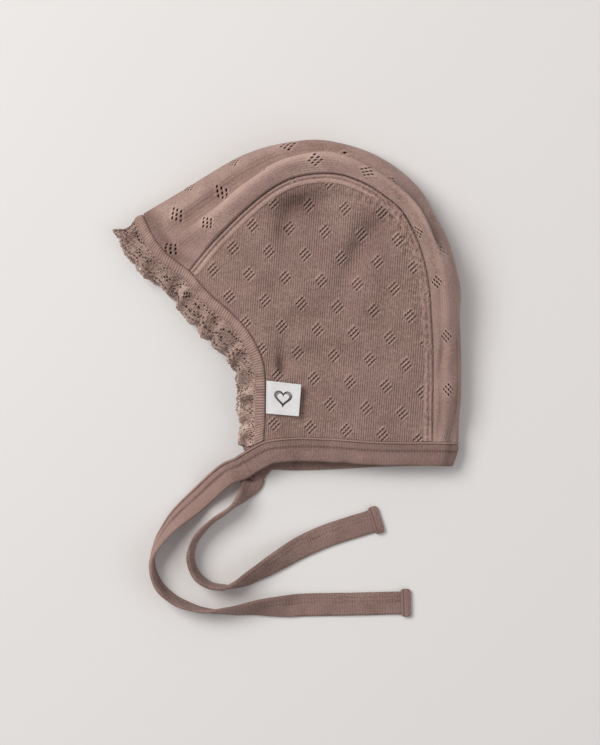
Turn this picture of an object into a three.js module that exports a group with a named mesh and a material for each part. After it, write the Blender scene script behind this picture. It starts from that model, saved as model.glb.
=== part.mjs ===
// A baby bonnet of fine rib knit, lying on its far side with the face opening to the front.
// Units are millimetres. +X runs from the face to the nape, +Y to the crown, +Z up from the surface.
// Two side panels are joined by a crown gusset that folds over between them. A ribbed band and a
// gathered lace edge go round the face, and a binding round the neck runs out into two ties.
import * as THREE from "three";
import { mergeVertices } from "three/addons/utils/BufferGeometryUtils.js";

// The bonnet as it lies
const bonnetLength = 160; // face corner at the crown to the fold at the nape
const bonnetHeight = 162; // fold of the crown to the lower edge
const bonnetLoft = 28; // highest roll of the crown above the surface
const clothWall = 1.2;
const seamGap = 0.3; // clear gap between two pieces that are sewn edge to edge

// The edges
const bandWidth = 5.5;
const bandWall = 1.7;
const laceWidth = 10.5;
const laceWall = 1;
const laceDroop = 1.6; // how far the loose edge hangs below the band
const laceWave = 1.2; // half the height of a gather at the loose edge
const laceSlope = 0.4; // share of the band's slope that the lace carries on
const scallopPitch = 13;
const scallopDepth = 2.6;
const bindingWidth = 12.2;
const bindingWall = 2;
const proud = 0.4; // how far band and binding stand out of the cloth beside them

// The ties
const nearTieLength = 207;
const farTieLength = 168;
const tieWidth = 11.4;
const tieWall = 1.6;
const tieEndLength = 5;
const tieEndWidth = 14;
const tieEndWall = 2.6;

// The label
const labelWidth = 17;
const labelHeight = 16.4;
const labelWall = 1;
const labelClearance = 0.45;
const labelCurl = 1.2; // how far its loose edge stands off the panel

// Steps of the grids
const panelSteps = { along: 24, up: 20 };
const gussetSteps = 14;
const tieSteps = 46;
const scallopSteps = 6;

// Sections through the crown, from the face to the nape. seam is the seam to the near panel, rim the
// fold that outlines the bonnet, ridge the roll between them, at its share of the way from one to the
// other. Along, up and lift are shares of the length, height and loft; bow bulges a section forwards.
const crownSections = [
  {
    seam: { along: -0.451, up: 0.183, lift: 0.34 },
    ridge: { way: 0.4, lift: 0.38 },
    rim: { along: -0.597, up: 0.359, lift: 0.17 },
    bow: 0.022,
  },
  {
    seam: { along: -0.366, up: 0.281, lift: 0.47 },
    ridge: { way: 0.34, lift: 0.52 },
    rim: { along: -0.47, up: 0.433, lift: 0.2 },
    bow: 0.008,
  },
  {
    seam: { along: -0.217, up: 0.415, lift: 0.7 },
    ridge: { way: 0.36, lift: 0.8 },
    rim: { along: -0.296, up: 0.534, lift: 0.23 },
    bow: 0,
  },
  {
    seam: { along: -0.14, up: 0.457, lift: 0.78 },
    ridge: { way: 0.45, lift: 0.91 },
    rim: { along: -0.187, up: 0.569, lift: 0.25 },
    bow: 0,
  },
  {
    seam: { along: -0.06, up: 0.473, lift: 0.82 },
    ridge: { way: 0.5, lift: 0.97 },
    rim: { along: -0.069, up: 0.583, lift: 0.27 },
    bow: 0,
  },
  {
    seam: { along: 0.013, up: 0.47, lift: 0.85 },
    ridge: { way: 0.5, lift: 1 },
    rim: { along: 0.052, up: 0.565, lift: 0.28 },
    bow: 0,
  },
  {
    seam: { along: 0.087, up: 0.444, lift: 0.86 },
    ridge: { way: 0.47, lift: 1 },
    rim: { along: 0.155, up: 0.521, lift: 0.29 },
    bow: 0,
  },
  {
    seam: { along: 0.152, up: 0.404, lift: 0.86 },
    ridge: { way: 0.48, lift: 1 },
    rim: { along: 0.239, up: 0.457, lift: 0.29 },
    bow: 0,
  },
  {
    seam: { along: 0.207, up: 0.356, lift: 0.84 },
    ridge: { way: 0.5, lift: 0.97 },
    rim: { along: 0.295, up: 0.383, lift: 0.29 },
    bow: 0,
  },
  {
    seam: { along: 0.272, up: 0.211, lift: 0.79 },
    ridge: { way: 0.52, lift: 0.86 },
    rim: { along: 0.369, up: 0.22, lift: 0.29 },
    bow: 0,
  },
  {
    seam: { along: 0.298, up: -0.002, lift: 0.66 },
    ridge: { way: 0.5, lift: 0.67 },
    rim: { along: 0.391, up: 0, lift: 0.26 },
    bow: 0,
  },
  {
    seam: { along: 0.301, up: -0.341, lift: 0.45 },
    ridge: { way: 0.5, lift: 0.44 },
    rim: { along: 0.381, up: -0.343, lift: 0.22 },
    bow: 0,
  },
];
// Where the crown's section goes between ridge, rim and far seam: way is the share of the plan
// distance from seam to rim, fall the share of the drop that is done.
const crownFlank = { stepWay: 0.42, stepFall: 0.42, stripWay: 0.85, stripFall: 0.66 };
const crownUnder = { turnWay: 0.9, turnLift: 0.25, restWay: 0.5 };
const cornerShare = 0.55; // where along the seam the panel's top side becomes its back side

// The near panel's edge at the face, from the neck to the seam.
const faceEdge = [
  { along: -0.22, up: -0.339, lift: 0.4 },
  { along: -0.214, up: -0.24, lift: 0.44 },
  { along: -0.214, up: -0.166, lift: 0.48 },
  { along: -0.224, up: -0.09, lift: 0.5 },
  { along: -0.267, up: -0.004, lift: 0.5 },
  { along: -0.326, up: 0.059, lift: 0.46 },
  { along: -0.391, up: 0.115, lift: 0.4 },
];

// The neck edge of each side, from the front end of the binding to the seam at the nape.
// corner marks the row that is the panel's front corner.
const neckEdge = {
  near: [
    { along: -0.296, up: -0.38, lift: 0.33 },
    { along: -0.255, up: -0.356, lift: 0.37 },
    { along: -0.22, up: -0.339, lift: 0.4, corner: true },
    { along: -0.137, up: -0.328, lift: 0.42 },
    { along: -0.016, up: -0.33, lift: 0.44 },
    { along: 0.139, up: -0.34, lift: 0.45 },
    { along: 0.301, up: -0.341, lift: 0.45 },
  ],
  far: [
    { along: -0.278, up: -0.408, lift: 0 },
    { along: -0.247, up: -0.374, lift: 0 },
    { along: -0.212, up: -0.357, lift: 0, corner: true },
    { along: -0.125, up: -0.356, lift: 0 },
    { along: -0.016, up: -0.353, lift: 0 },
    { along: 0.125, up: -0.346, lift: 0 },
    { along: 0.301, up: -0.341, lift: 0 },
  ],
};

// Dents and swells of the near panel, as shares: its centre, half length, half width and depth, with
// the turn of its length in degrees.
const panelDents = [
  { along: 0, up: 0.02, long: 0.24, wide: 0.2, turn: 0, depth: -0.1 },
  { along: -0.16, up: 0.31, long: 0.06, wide: 0.035, turn: 90, depth: -0.06 },
  { along: 0.065, up: 0.22, long: 0.12, wide: 0.04, turn: 66, depth: -0.08 },
  { along: -0.16, up: -0.09, long: 0.045, wide: 0.035, turn: 0, depth: -0.05 },
  { along: -0.11, up: -0.03, long: 0.06, wide: 0.05, turn: 30, depth: 0.04 },
  { along: 0.2, up: 0.1, long: 0.16, wide: 0.05, turn: 80, depth: 0.05 },
];

// The ties' routes from the ends of the binding, as shares of each tie's length. roll turns the tie
// about its run: 0 lies flat, 90 stands on its outer edge, -90 on its inner edge and -180 lies turned
// over. lift is the height of its middle where something carries it.
const tieRoutes = {
  near: [
    { along: -0.048, up: -0.023, lift: 0.036, roll: 4 },
    { along: -0.116, up: -0.084, lift: 0.008, roll: 12 },
    { along: -0.179, up: -0.143, lift: 0, roll: 52 },
    { along: -0.214, up: -0.194, lift: 0, roll: 76 },
    { along: -0.228, up: -0.235, lift: 0, roll: 92 },
    { along: -0.218, up: -0.281, lift: 0, roll: 102 },
    { along: -0.193, up: -0.313, lift: 0, roll: 104 },
    { along: -0.154, up: -0.337, lift: 0, roll: 102 },
    { along: -0.099, up: -0.352, lift: 0, roll: 90 },
    { along: -0.037, up: -0.352, lift: 0, roll: 70 },
    { along: 0.026, up: -0.345, lift: 0, roll: 48 },
    { along: 0.084, up: -0.343, lift: 0, roll: 20 },
    { along: 0.142, up: -0.34, lift: 0, roll: 0 },
    { along: 0.26, up: -0.338, lift: 0, roll: 0 },
    { along: 0.373, up: -0.335, lift: 0, roll: 0 },
  ],
  far: [
    { along: -0.007, up: -0.027, lift: 0, roll: -12 },
    { along: -0.03, up: -0.068, lift: 0, roll: -56 },
    { along: -0.075, up: -0.112, lift: 0, roll: -86 },
    { along: -0.134, up: -0.155, lift: 0, roll: -84 },
    { along: -0.17, up: -0.193, lift: 0, roll: -80 },
    { along: -0.189, up: -0.236, lift: 0, roll: -78 },
    { along: -0.189, up: -0.275, lift: 0, roll: -76 },
    { along: -0.17, up: -0.315, lift: 0, roll: -76 },
    { along: -0.134, up: -0.339, lift: 0, roll: -80 },
    { along: -0.092, up: -0.345, lift: 0, roll: -88 },
    { along: -0.06, up: -0.339, lift: 0, roll: -104 },
    { along: -0.025, up: -0.322, lift: 0, roll: -122 },
    { along: 0.053, up: -0.276, lift: 0, roll: -146 },
    { along: 0.133, up: -0.229, lift: 0, roll: -168 },
    { along: 0.212, up: -0.194, lift: 0, roll: -180 },
    { along: 0.346, up: -0.151, lift: 0, roll: -180 },
  ],
};

// The label's corner at the band, as shares of the length and height, and its turn in degrees.
const labelPlace = { along: -0.206, up: -0.153, turn: -6 };

// The lace's width from its ends at the neck to the fold of the crown, as shares of the lace's width.
const laceSpread = [
  { way: 0, width: 0.78 },
  { way: 0.24, width: 0.92 },
  { way: 0.5, width: 1.25 },
  { way: 0.72, width: 1 },
  { way: 1, width: 1.1 },
];

// Rows of the lace from the band to its loose edge, and the columns of each scallop that are open.
const laceRows = [
  { share: 0, open: [] },
  { share: 0.14, open: [1, 3, 5] },
  { share: 0.4, open: [] },
  { share: 0.54, open: [1, 4] },
  { share: 0.84, open: [] },
  { share: 1, open: [] },
];

const up = new THREE.Vector3(0, 0, 1);
const down = new THREE.Vector3(0, 0, -1);

// A number between a and b, and the same with a soft start and end.
function blend(a, b, share) {
  return a + (b - a) * share;
}

function ease(share) {
  const t = Math.min(Math.max(share, 0), 1);
  return t * t * (3 - 2 * t);
}

// The value of a table's column at a place along its first column, softly blended between rows.
function tableValue(rows, place, column, wanted) {
  let k = 1;
  while (k < rows.length - 1 && rows[k][place] < wanted) k++;
  const way = (wanted - rows[k - 1][place]) / (rows[k][place] - rows[k - 1][place]);
  return blend(rows[k - 1][column], rows[k][column], ease(way));
}

function place(row) {
  return new THREE.Vector3(row.along * bonnetLength, row.up * bonnetHeight, row.lift * bonnetLoft);
}

function curveThrough(points) {
  const curve = new THREE.CatmullRomCurve3(points, false, "centripetal");
  curve.arcLengthDivisions = 400;
  return curve;
}

// One crown section as a curve from the near seam over the ridge and round the rim to the far seam.
function crownSection(row) {
  const seam = place(row.seam);
  const rim = place(row.rim);
  const ridgeHeight = row.ridge.lift * bonnetLoft;
  const across = rim.clone().sub(seam).setZ(0).normalize();
  const front = new THREE.Vector3().crossVectors(up, across);
  const at = (way, height) =>
    new THREE.Vector3(blend(seam.x, rim.x, way), blend(seam.y, rim.y, way), height).addScaledVector(
      front,
      row.bow * bonnetLength * Math.sin(Math.PI * way),
    );
  const flank = (way, fall) => at(blend(row.ridge.way, 1, way), blend(ridgeHeight, rim.z, fall));
  return curveThrough([
    at(0, seam.z),
    at(row.ridge.way, ridgeHeight),
    flank(crownFlank.stepWay, crownFlank.stepFall),
    flank(crownFlank.stripWay, crownFlank.stripFall),
    at(1, rim.z),
    at(crownUnder.turnWay, rim.z * crownUnder.turnLift),
    at(crownUnder.restWay, 0),
    at(0, 0),
  ]);
}

const sections = crownSections.map(crownSection);
const seamCurve = curveThrough(sections.map((section) => section.getPoint(0)));

// The crown's outer face as lines that run from face to nape, one for each share of the section.
const crownLines = Array.from({ length: gussetSteps + 1 }, (_, j) =>
  curveThrough(sections.map((section) => section.getPoint(j / gussetSteps))),
);

const seamSteps = panelSteps.along + panelSteps.up;

// Shares of the seam's length at which panels and gusset have their edge points.
const seamShares = Array.from({ length: seamSteps + 1 }, (_, i) =>
  i <= panelSteps.along
    ? (cornerShare * i) / panelSteps.along
    : blend(cornerShare, 1, (i - panelSteps.along) / panelSteps.up),
);

const gussetPoints = seamShares.map((share) => {
  const along = seamCurve.getUtoTmapping(share);
  return crownLines.map((line) => {
    const point = line.getPoint(along);
    return point.setZ(Math.max(point.z, 0));
  });
});

const faceCurve = curveThrough([...faceEdge.map(place), seamCurve.getPoint(0)]);

// The panel's part of a neck edge, and its front end beyond the panel's corner.
function neckCurves(rows) {
  const corner = rows.findIndex((row) => row.corner);
  const points = rows.map(place);
  const whole = curveThrough(points);
  const start = corner / (rows.length - 1);
  return {
    hem: (share) => whole.getPoint(blend(start, 1, share)),
    front: (share) => whole.getPoint(blend(start, 0, share)),
  };
}

const nearNeck = neckCurves(neckEdge.near);
const farNeck = neckCurves(neckEdge.far);

function dentHeight(x, y) {
  let height = 0;
  for (const dent of panelDents) {
    const dx = x - dent.along * bonnetLength;
    const dy = y - dent.up * bonnetHeight;
    const turn = THREE.MathUtils.degToRad(dent.turn);
    const long = (dx * Math.cos(turn) + dy * Math.sin(turn)) / (dent.long * bonnetLength);
    const wide = (dy * Math.cos(turn) - dx * Math.sin(turn)) / (dent.wide * bonnetLength);
    height += dent.depth * bonnetLoft * Math.exp(-(long * long + wide * wide));
  }
  return height;
}

// A point of a four-sided panel from its edge curves; a runs from face to back, b from neck to crown.
function panelPoint(edges, a, b) {
  const corner = (p, q) => (q === 0 ? edges.hem(p) : edges.top(p));
  const point = new THREE.Vector3()
    .addScaledVector(edges.hem(a), 1 - b)
    .addScaledVector(edges.top(a), b)
    .addScaledVector(edges.front(b), 1 - a)
    .addScaledVector(edges.back(b), a);
  for (const [p, q] of [[0, 0], [1, 0], [0, 1], [1, 1]]) {
    const weight = (p ? a : 1 - a) * (q ? b : 1 - b);
    point.addScaledVector(corner(p, q), -weight);
  }
  return point;
}

const nearEdges = {
  hem: nearNeck.hem,
  top: (share) => seamCurve.getPointAt(share * cornerShare),
  front: (share) => faceCurve.getPointAt(share),
  back: (share) => seamCurve.getPointAt(blend(1, cornerShare, share)),
};

function nearPanelPoint(a, b) {
  const point = panelPoint(nearEdges, a, b);
  const inside = ease(4 * a) * ease(4 * (1 - a)) * ease(4 * b) * ease(4 * (1 - b));
  point.z += dentHeight(point.x, point.y) * inside;
  return point;
}

const nearPoints = Array.from({ length: panelSteps.along + 1 }, (_, i) =>
  Array.from({ length: panelSteps.up + 1 }, (_, j) =>
    nearPanelPoint(i / panelSteps.along, j / panelSteps.up),
  ),
);

// Outward normals of a grid of points, by the directions of its two families of lines.
function gridNormals(points) {
  const last = { i: points.length - 1, j: points[0].length - 1 };
  return points.map((line, i) =>
    line.map((_, j) => {
      const before = points[Math.max(i - 1, 0)][j];
      const after = points[Math.min(i + 1, last.i)][j];
      const below = line[Math.max(j - 1, 0)];
      const above = line[Math.min(j + 1, last.j)];
      return after.clone().sub(before).cross(above.clone().sub(below)).normalize();
    }),
  );
}

const nearNormals = gridNormals(nearPoints);
const gussetNormals = gridNormals(gussetPoints);
for (const line of gussetNormals) line[gussetSteps].copy(down);

// The near panel's grid place for a step of the seam: along its top, then down its back.
function seamPlace(step) {
  return step <= panelSteps.along
    ? [step, panelSteps.up]
    : [panelSteps.along, seamSteps - step];
}

// Both sides of the near seam take one normal, so that their edge faces stay parallel.
for (let step = 0; step <= seamSteps; step++) {
  const [i, j] = seamPlace(step);
  const shared = nearNormals[i][j].clone().add(gussetNormals[step][0]).normalize();
  nearNormals[i][j] = shared.clone();
  gussetNormals[step][0] = shared.clone();
}

// An edge that pieces are sewn to: points with the cloth's outward normal and the way off the cloth.
function edgeFrames(points, normals, side) {
  const last = points.length - 1;
  const soft = normals.map((normal, k) =>
    normal
      .clone()
      .multiplyScalar(2)
      .add(normals[Math.max(k - 1, 0)])
      .add(normals[Math.min(k + 1, last)])
      .normalize(),
  );
  return points.map((point, k) => {
    const along = points[Math.min(k + 1, last)].clone().sub(points[Math.max(k - 1, 0)]).normalize();
    const off = new THREE.Vector3().crossVectors(soft[k], along).multiplyScalar(side).normalize();
    return { point: point.clone(), normal: soft[k], off, along };
  });
}

const farSteps = panelSteps.up;
const farCorner = farNeck.hem(0);
const nearCorner = nearNeck.hem(0);

// The far panel's face edge follows the near one in plan, drawn over to its own front corner.
function farFacePoint(share) {
  const point = faceCurve.getPointAt(share).setZ(0);
  return point.addScaledVector(farCorner.clone().sub(nearCorner).setZ(0), 1 - share);
}

const farFace = Array.from({ length: farSteps + 1 }, (_, k) => farFacePoint(1 - k / farSteps));
const farHem = Array.from({ length: panelSteps.along + 1 }, (_, k) =>
  farNeck.hem(1 - k / panelSteps.along),
);

const faceFrames = edgeFrames(
  [...nearPoints[0], ...gussetPoints[0].slice(1), ...farFace.slice(1)],
  [...nearNormals[0], ...gussetNormals[0].slice(1), ...farFace.slice(1).map(() => down)],
  1,
);

// The neck edge goes from the front end of the near side round the nape to that of the far side.
const frontSteps = 4;
const nearFront = Array.from({ length: frontSteps }, (_, k) => nearNeck.front(1 - k / frontSteps));
const farFront = Array.from({ length: frontSteps }, (_, k) => farNeck.front((k + 1) / frontSteps));
const neckFrames = edgeFrames(
  [
    ...nearFront,
    ...nearPoints.map((line) => line[0]),
    ...gussetPoints[seamSteps].slice(1),
    ...farHem.slice(1),
    ...farFront,
  ],
  [
    ...nearFront.map(() => nearNormals[0][0]),
    ...nearNormals.map((line) => line[0]),
    ...gussetNormals[seamSteps].slice(1),
    ...farHem.slice(1).map(() => down),
    ...farFront.map(() => down),
  ],
  -1,
);

// Near both ends the face edge's way off turns to lie along the binding's front end.
const endTurn = [1, 0.75, 0.45, 0.2];
function turnFaceEnd(ownStep, ends, nearSide) {
  const target = ends(0.5).clone().sub(ends(0)).normalize();
  endTurn.forEach((weight, k) => {
    const frame = faceFrames[nearSide ? k : ownStep - k];
    frame.off.lerp(target, weight).normalize();
  });
}
turnFaceEnd(0, nearNeck.front, true);
turnFaceEnd(faceFrames.length - 1, farNeck.front, false);

// How far a height is clear of the surface, from 0 on it to 1.
function clearOfSurface(height) {
  return ease(height / (bonnetLoft * 0.2));
}

// A closed shell from a grid of outer points: each point goes out by its proud share and in by the
// wall along its normal. Cells in open are left out and walled round.
function shell(points, normals, wall, standOut, open) {
  const rows = points.length;
  const columns = points[0].length;
  const positions = [];
  const index = [];
  for (const inner of [false, true])
    for (let i = 0; i < rows; i++)
      for (let j = 0; j < columns; j++) {
        const out = standOut * clearOfSurface(points[i][j].z);
        const shift = inner ? out - wall : out;
        const at = points[i][j].clone().addScaledVector(normals[i][j], shift);
        positions.push(at.x, at.y, Math.max(at.z, 0)); // cloth is flat where it rests
      }
  const outer = (i, j) => i * columns + j;
  const inner = (i, j) => rows * columns + i * columns + j;
  const solid = (i, j) =>
    i >= 0 && j >= 0 && i < rows - 1 && j < columns - 1 && !(open && open(i, j));
  const quad = (a, b, c, d) => index.push(a, b, c, a, c, d);
  for (let i = 0; i < rows - 1; i++)
    for (let j = 0; j < columns - 1; j++) {
      if (!solid(i, j)) continue;
      quad(outer(i, j), outer(i + 1, j), outer(i + 1, j + 1), outer(i, j + 1));
      quad(inner(i, j), inner(i, j + 1), inner(i + 1, j + 1), inner(i + 1, j));
      if (!solid(i - 1, j)) quad(outer(i, j), outer(i, j + 1), inner(i, j + 1), inner(i, j));
      if (!solid(i + 1, j)) {
        quad(outer(i + 1, j + 1), outer(i + 1, j), inner(i + 1, j), inner(i + 1, j + 1));
      }
      if (!solid(i, j - 1)) quad(outer(i + 1, j), outer(i, j), inner(i, j), inner(i + 1, j));
      if (!solid(i, j + 1)) {
        quad(outer(i, j + 1), outer(i + 1, j + 1), inner(i + 1, j + 1), inner(i, j + 1));
      }
    }
  const geometry = new THREE.BufferGeometry();
  geometry.setAttribute("position", new THREE.Float32BufferAttribute(positions, 3));
  geometry.setIndex(index);
  return mergeVertices(geometry, 1e-4);
}

// Draws a grid's edge points back from a seam by half the gap.
function drawBack(points, picks) {
  const copy = points.map((line) => line.map((point) => point.clone()));
  for (const [i, j, way] of picks) copy[i][j].addScaledVector(way, seamGap / 2);
  return copy;
}

// The way from an edge point of a grid into its cloth.
function inward(points, i, j, stepI, stepJ) {
  return points[i + stepI][j + stepJ].clone().sub(points[i][j]).normalize();
}

// The near panel with its edge points drawn back from face, neck and seam.
function nearPanel() {
  const picks = [];
  const { along, up: rise } = panelSteps;
  for (let j = 0; j <= rise; j++) {
    picks.push([0, j, inward(nearPoints, 0, j, 1, 0)]);
    picks.push([along, j, inward(nearPoints, along, j, -1, 0)]);
  }
  for (let i = 0; i <= along; i++) {
    picks.push([i, 0, inward(nearPoints, i, 0, 0, 1)]);
    picks.push([i, rise, inward(nearPoints, i, rise, 0, -1)]);
  }
  return shell(drawBack(nearPoints, picks), nearNormals, clothWall, 0);
}

function crownGusset() {
  const picks = [];
  for (let i = 0; i <= seamSteps; i++) {
    picks.push([i, 0, inward(gussetPoints, i, 0, 0, 1)]);
    picks.push([i, gussetSteps, inward(gussetPoints, i, gussetSteps, 0, -1)]);
  }
  for (let j = 0; j <= gussetSteps; j++) {
    picks.push([0, j, inward(gussetPoints, 0, j, 1, 0)]);
    picks.push([seamSteps, j, inward(gussetPoints, seamSteps, j, -1, 0)]);
  }
  return shell(drawBack(gussetPoints, picks), gussetNormals, clothWall, 0);
}

// The far panel lies flat, so it is its outline with the wall's thickness.
function farPanel() {
  const outline = [
    ...seamShares.map((share) => seamCurve.getPointAt(share)),
    ...farHem.slice(1),
    ...farFace.slice(1, -1).reverse(),
  ].map((point) => new THREE.Vector2(point.x, point.y));
  const last = outline.length - 1;
  const shrunk = outline.map((point, k) => {
    const before = outline[k ? k - 1 : last];
    const after = outline[k === last ? 0 : k + 1];
    const along = after.clone().sub(before).normalize();
    return new THREE.Vector2(along.y, -along.x).multiplyScalar(seamGap / 2).add(point);
  });
  const shape = new THREE.Shape(shrunk);
  return new THREE.ExtrudeGeometry(shape, { depth: clothWall, bevelEnabled: false });
}

// A strip sewn along an edge: one line of points for each distance off the edge.
function strip(frames, distances, wall, standOut, turned) {
  const points = frames.map((frame) =>
    distances.map((distance) => frame.point.clone().addScaledVector(frame.off, distance)),
  );
  const normals = frames.map((frame) => distances.map(() => frame.normal.clone()));
  if (turned) {
    points.forEach((line) => line.reverse());
    normals.forEach((line) => line.reverse());
  }
  return shell(points, normals, wall, standOut);
}

// Copies the frames of an edge with its two ends drawn back along it.
function shortened(frames, gap) {
  const copy = frames.map((frame) => ({ ...frame, point: frame.point.clone() }));
  copy[0].point.addScaledVector(copy[0].along, gap);
  copy[copy.length - 1].point.addScaledVector(copy[copy.length - 1].along, -gap);
  return copy;
}

function frontBand() {
  const distances = [seamGap / 2, bandWidth];
  return strip(shortened(faceFrames, seamGap), distances, bandWall, proud, false);
}

function neckBinding() {
  const distances = [seamGap / 2, bindingWidth / 2, bindingWidth];
  return strip(neckFrames, distances, bindingWall, proud, true);
}

// The frame at a share of an edge's length.
function frameAt(frames, lengths, share) {
  const wanted = share * lengths[lengths.length - 1];
  let k = 1;
  while (k < lengths.length - 1 && lengths[k] < wanted) k++;
  const t = (wanted - lengths[k - 1]) / (lengths[k] - lengths[k - 1]);
  const mix = (key) => frames[k - 1][key].clone().lerp(frames[k][key], t);
  return { point: mix("point"), off: mix("off").normalize(), along: mix("along").normalize() };
}

// The lace: a scalloped, gathered strip with eyelets, whose loose edge droops and waves.
function laceTrim() {
  const frames = shortened(faceFrames, seamGap);
  const inner = frames.map((frame) => frame.point.clone().addScaledVector(frame.off, bandWidth));
  const lengths = inner.map(() => 0);
  for (let k = 1; k < inner.length; k++) lengths[k] = lengths[k - 1] + inner[k].distanceTo(inner[k - 1]);
  const scallops = Math.round(lengths[lengths.length - 1] / scallopPitch);
  const steps = scallops * scallopSteps;
  const points = [];
  const normals = [];
  for (let i = 0; i <= steps; i++) {
    const frame = frameAt(frames, lengths, i / steps);
    const tip = Math.sin((Math.PI * (i % scallopSteps)) / scallopSteps);
    const way = 1 - Math.abs((2 * i) / steps - 1);
    const width = laceWidth * tableValue(laceSpread, "way", "width", way);
    const reach = width - scallopDepth * (1 - tip);
    const clear = clearOfSurface(frame.point.z);
    const wave = Math.cos((2 * Math.PI * i) / scallopSteps);
    const lift = laceWave * blend((1 + wave) / 2, wave, clear) + laceDroop * clear;
    const edge = frame.point.clone().addScaledVector(frame.off, bandWidth);
    const off = frame.off.clone().setZ(frame.off.z * laceSlope).normalize();
    const normal = frame.along.clone().cross(off).normalize();
    points.push(
      laceRows.map((row) =>
        edge
          .clone()
          .addScaledVector(off, seamGap + row.share * (reach - seamGap))
          .addScaledVector(normal, -lift * row.share * row.share),
      ),
    );
    normals.push(laceRows.map(() => normal.clone()));
  }
  const open = (i, j) => laceRows[j].open.includes(i % scallopSteps);
  return shell(points, normals, laceWall, 0, open);
}

// A flat strap along sections with a middle, the way across its width and the way out of its face.
function strap(sectionList, width, wall) {
  const points = sectionList.map(({ middle, across, face }) =>
    [-0.5, 0.5].map((side) =>
      middle.clone().addScaledVector(across, side * width).addScaledVector(face, wall / 2),
    ),
  );
  const normals = sectionList.map(({ face }) => [face.clone(), face.clone()]);
  return shell(points, normals, wall, 0);
}

// The sections of a tie: it leaves the binding's end in line, then follows its route.
function tieSections(frame, wayOut, route, length) {
  const root = frame.point
    .clone()
    .addScaledVector(frame.off, bindingWidth / 2)
    .addScaledVector(frame.normal, proud * clearOfSurface(frame.point.z) - bindingWall / 2);
  const start = root.clone().addScaledVector(wayOut, seamGap);
  const plan = [
    start,
    start.clone().addScaledVector(wayOut, tieWidth / 3),
    ...route.map((row) => {
      const step = new THREE.Vector3(row.along, row.up, row.lift).multiplyScalar(length);
      return step.add(root.clone().setZ(0));
    }),
  ];
  const rolls = [0, 0, ...route.map((row) => row.roll)];
  const curve = curveThrough(plan);
  const rollCurve = curveThrough(rolls.map((roll, k) => new THREE.Vector3(k, roll, 0)));
  return Array.from({ length: tieSteps + 1 }, (_, k) => {
    const t = curve.getUtoTmapping(k / tieSteps);
    const middle = curve.getPoint(t);
    const along = curve.getTangent(t);
    const roll = THREE.MathUtils.degToRad(rollCurve.getPoint(t).y);
    const level = new THREE.Vector3().crossVectors(up, along).setZ(0).normalize();
    const across = level.clone().multiplyScalar(Math.cos(roll)).addScaledVector(up, Math.sin(roll));
    const rootShare = 1 - ease((t * (plan.length - 1)) / 2);
    const rootAcross = frame.off.clone().multiplyScalar(Math.sign(frame.off.dot(level)) || 1);
    across.lerp(rootAcross, rootShare).normalize();
    const face = new THREE.Vector3().crossVectors(along, across).normalize();
    across.crossVectors(face, along).normalize();
    const resting = (tieWidth / 2) * Math.abs(across.z) + (tieWall / 2) * Math.abs(face.z);
    middle.z = Math.max(middle.z, resting);
    return { middle, across, face };
  });
}

const nearTie = tieSections(
  neckFrames[0],
  neckFrames[0].along.clone().negate(),
  tieRoutes.near,
  nearTieLength,
);
const farTie = tieSections(
  neckFrames[neckFrames.length - 1],
  neckFrames[neckFrames.length - 1].along,
  tieRoutes.far,
  farTieLength,
);

// The folded end of a tie, in line with its last section.
function tieEnd(sectionList) {
  const last = sectionList[sectionList.length - 1];
  const before = sectionList[sectionList.length - 2];
  const along = last.middle.clone().sub(before.middle).normalize();
  const rise = (Math.sign(last.face.z) * (tieEndWall - tieWall)) / 2;
  const stations = [
    { way: 0, width: tieEndWidth * 0.86, wall: tieEndWall * 0.7 },
    { way: 0.25, width: tieEndWidth, wall: tieEndWall },
    { way: 0.8, width: tieEndWidth, wall: tieEndWall },
    { way: 1, width: tieEndWidth * 0.9, wall: tieEndWall * 0.6 },
  ];
  const base = last.middle.clone().addScaledVector(last.face, rise);
  const positions = [];
  for (const station of stations) {
    const middle = base.clone().addScaledVector(along, seamGap + station.way * tieEndLength);
    for (const [side, face] of [[-0.5, 0.5], [0.5, 0.5], [0.5, -0.5], [-0.5, -0.5]]) {
      const corner = middle
        .clone()
        .addScaledVector(last.across, side * station.width)
        .addScaledVector(last.face, face * station.wall);
      positions.push(corner.x, corner.y, corner.z);
    }
  }
  const index = [];
  const quad = (a, b, c, d) => index.push(a, b, c, a, c, d);
  for (let i = 0; i < stations.length - 1; i++)
    for (let k = 0; k < 4; k++) {
      const next = (k + 1) % 4;
      quad(i * 4 + k, (i + 1) * 4 + k, (i + 1) * 4 + next, i * 4 + next);
    }
  quad(0, 1, 2, 3);
  const top = (stations.length - 1) * 4;
  quad(top + 3, top + 2, top + 1, top);
  const geometry = new THREE.BufferGeometry();
  geometry.setAttribute("position", new THREE.Float32BufferAttribute(positions, 3));
  geometry.setIndex(index);
  return geometry;
}

// The near panel's outer height over a place in plan, found by stepping towards it.
function panelHeight(x, y) {
  let a = 0.1;
  let b = 0.4;
  const step = 0.01;
  for (let round = 0; round < 12; round++) {
    const here = nearPanelPoint(a, b);
    const alongA = nearPanelPoint(a + step, b).sub(here).divideScalar(step);
    const alongB = nearPanelPoint(a, b + step).sub(here).divideScalar(step);
    const missX = x - here.x;
    const missY = y - here.y;
    const area = alongA.x * alongB.y - alongA.y * alongB.x;
    a = THREE.MathUtils.clamp(a + (missX * alongB.y - missY * alongB.x) / area, 0, 1 - step);
    b = THREE.MathUtils.clamp(b + (missY * alongA.x - missX * alongA.y) / area, 0, 1 - step);
  }
  return nearPanelPoint(a, b).z;
}

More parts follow.
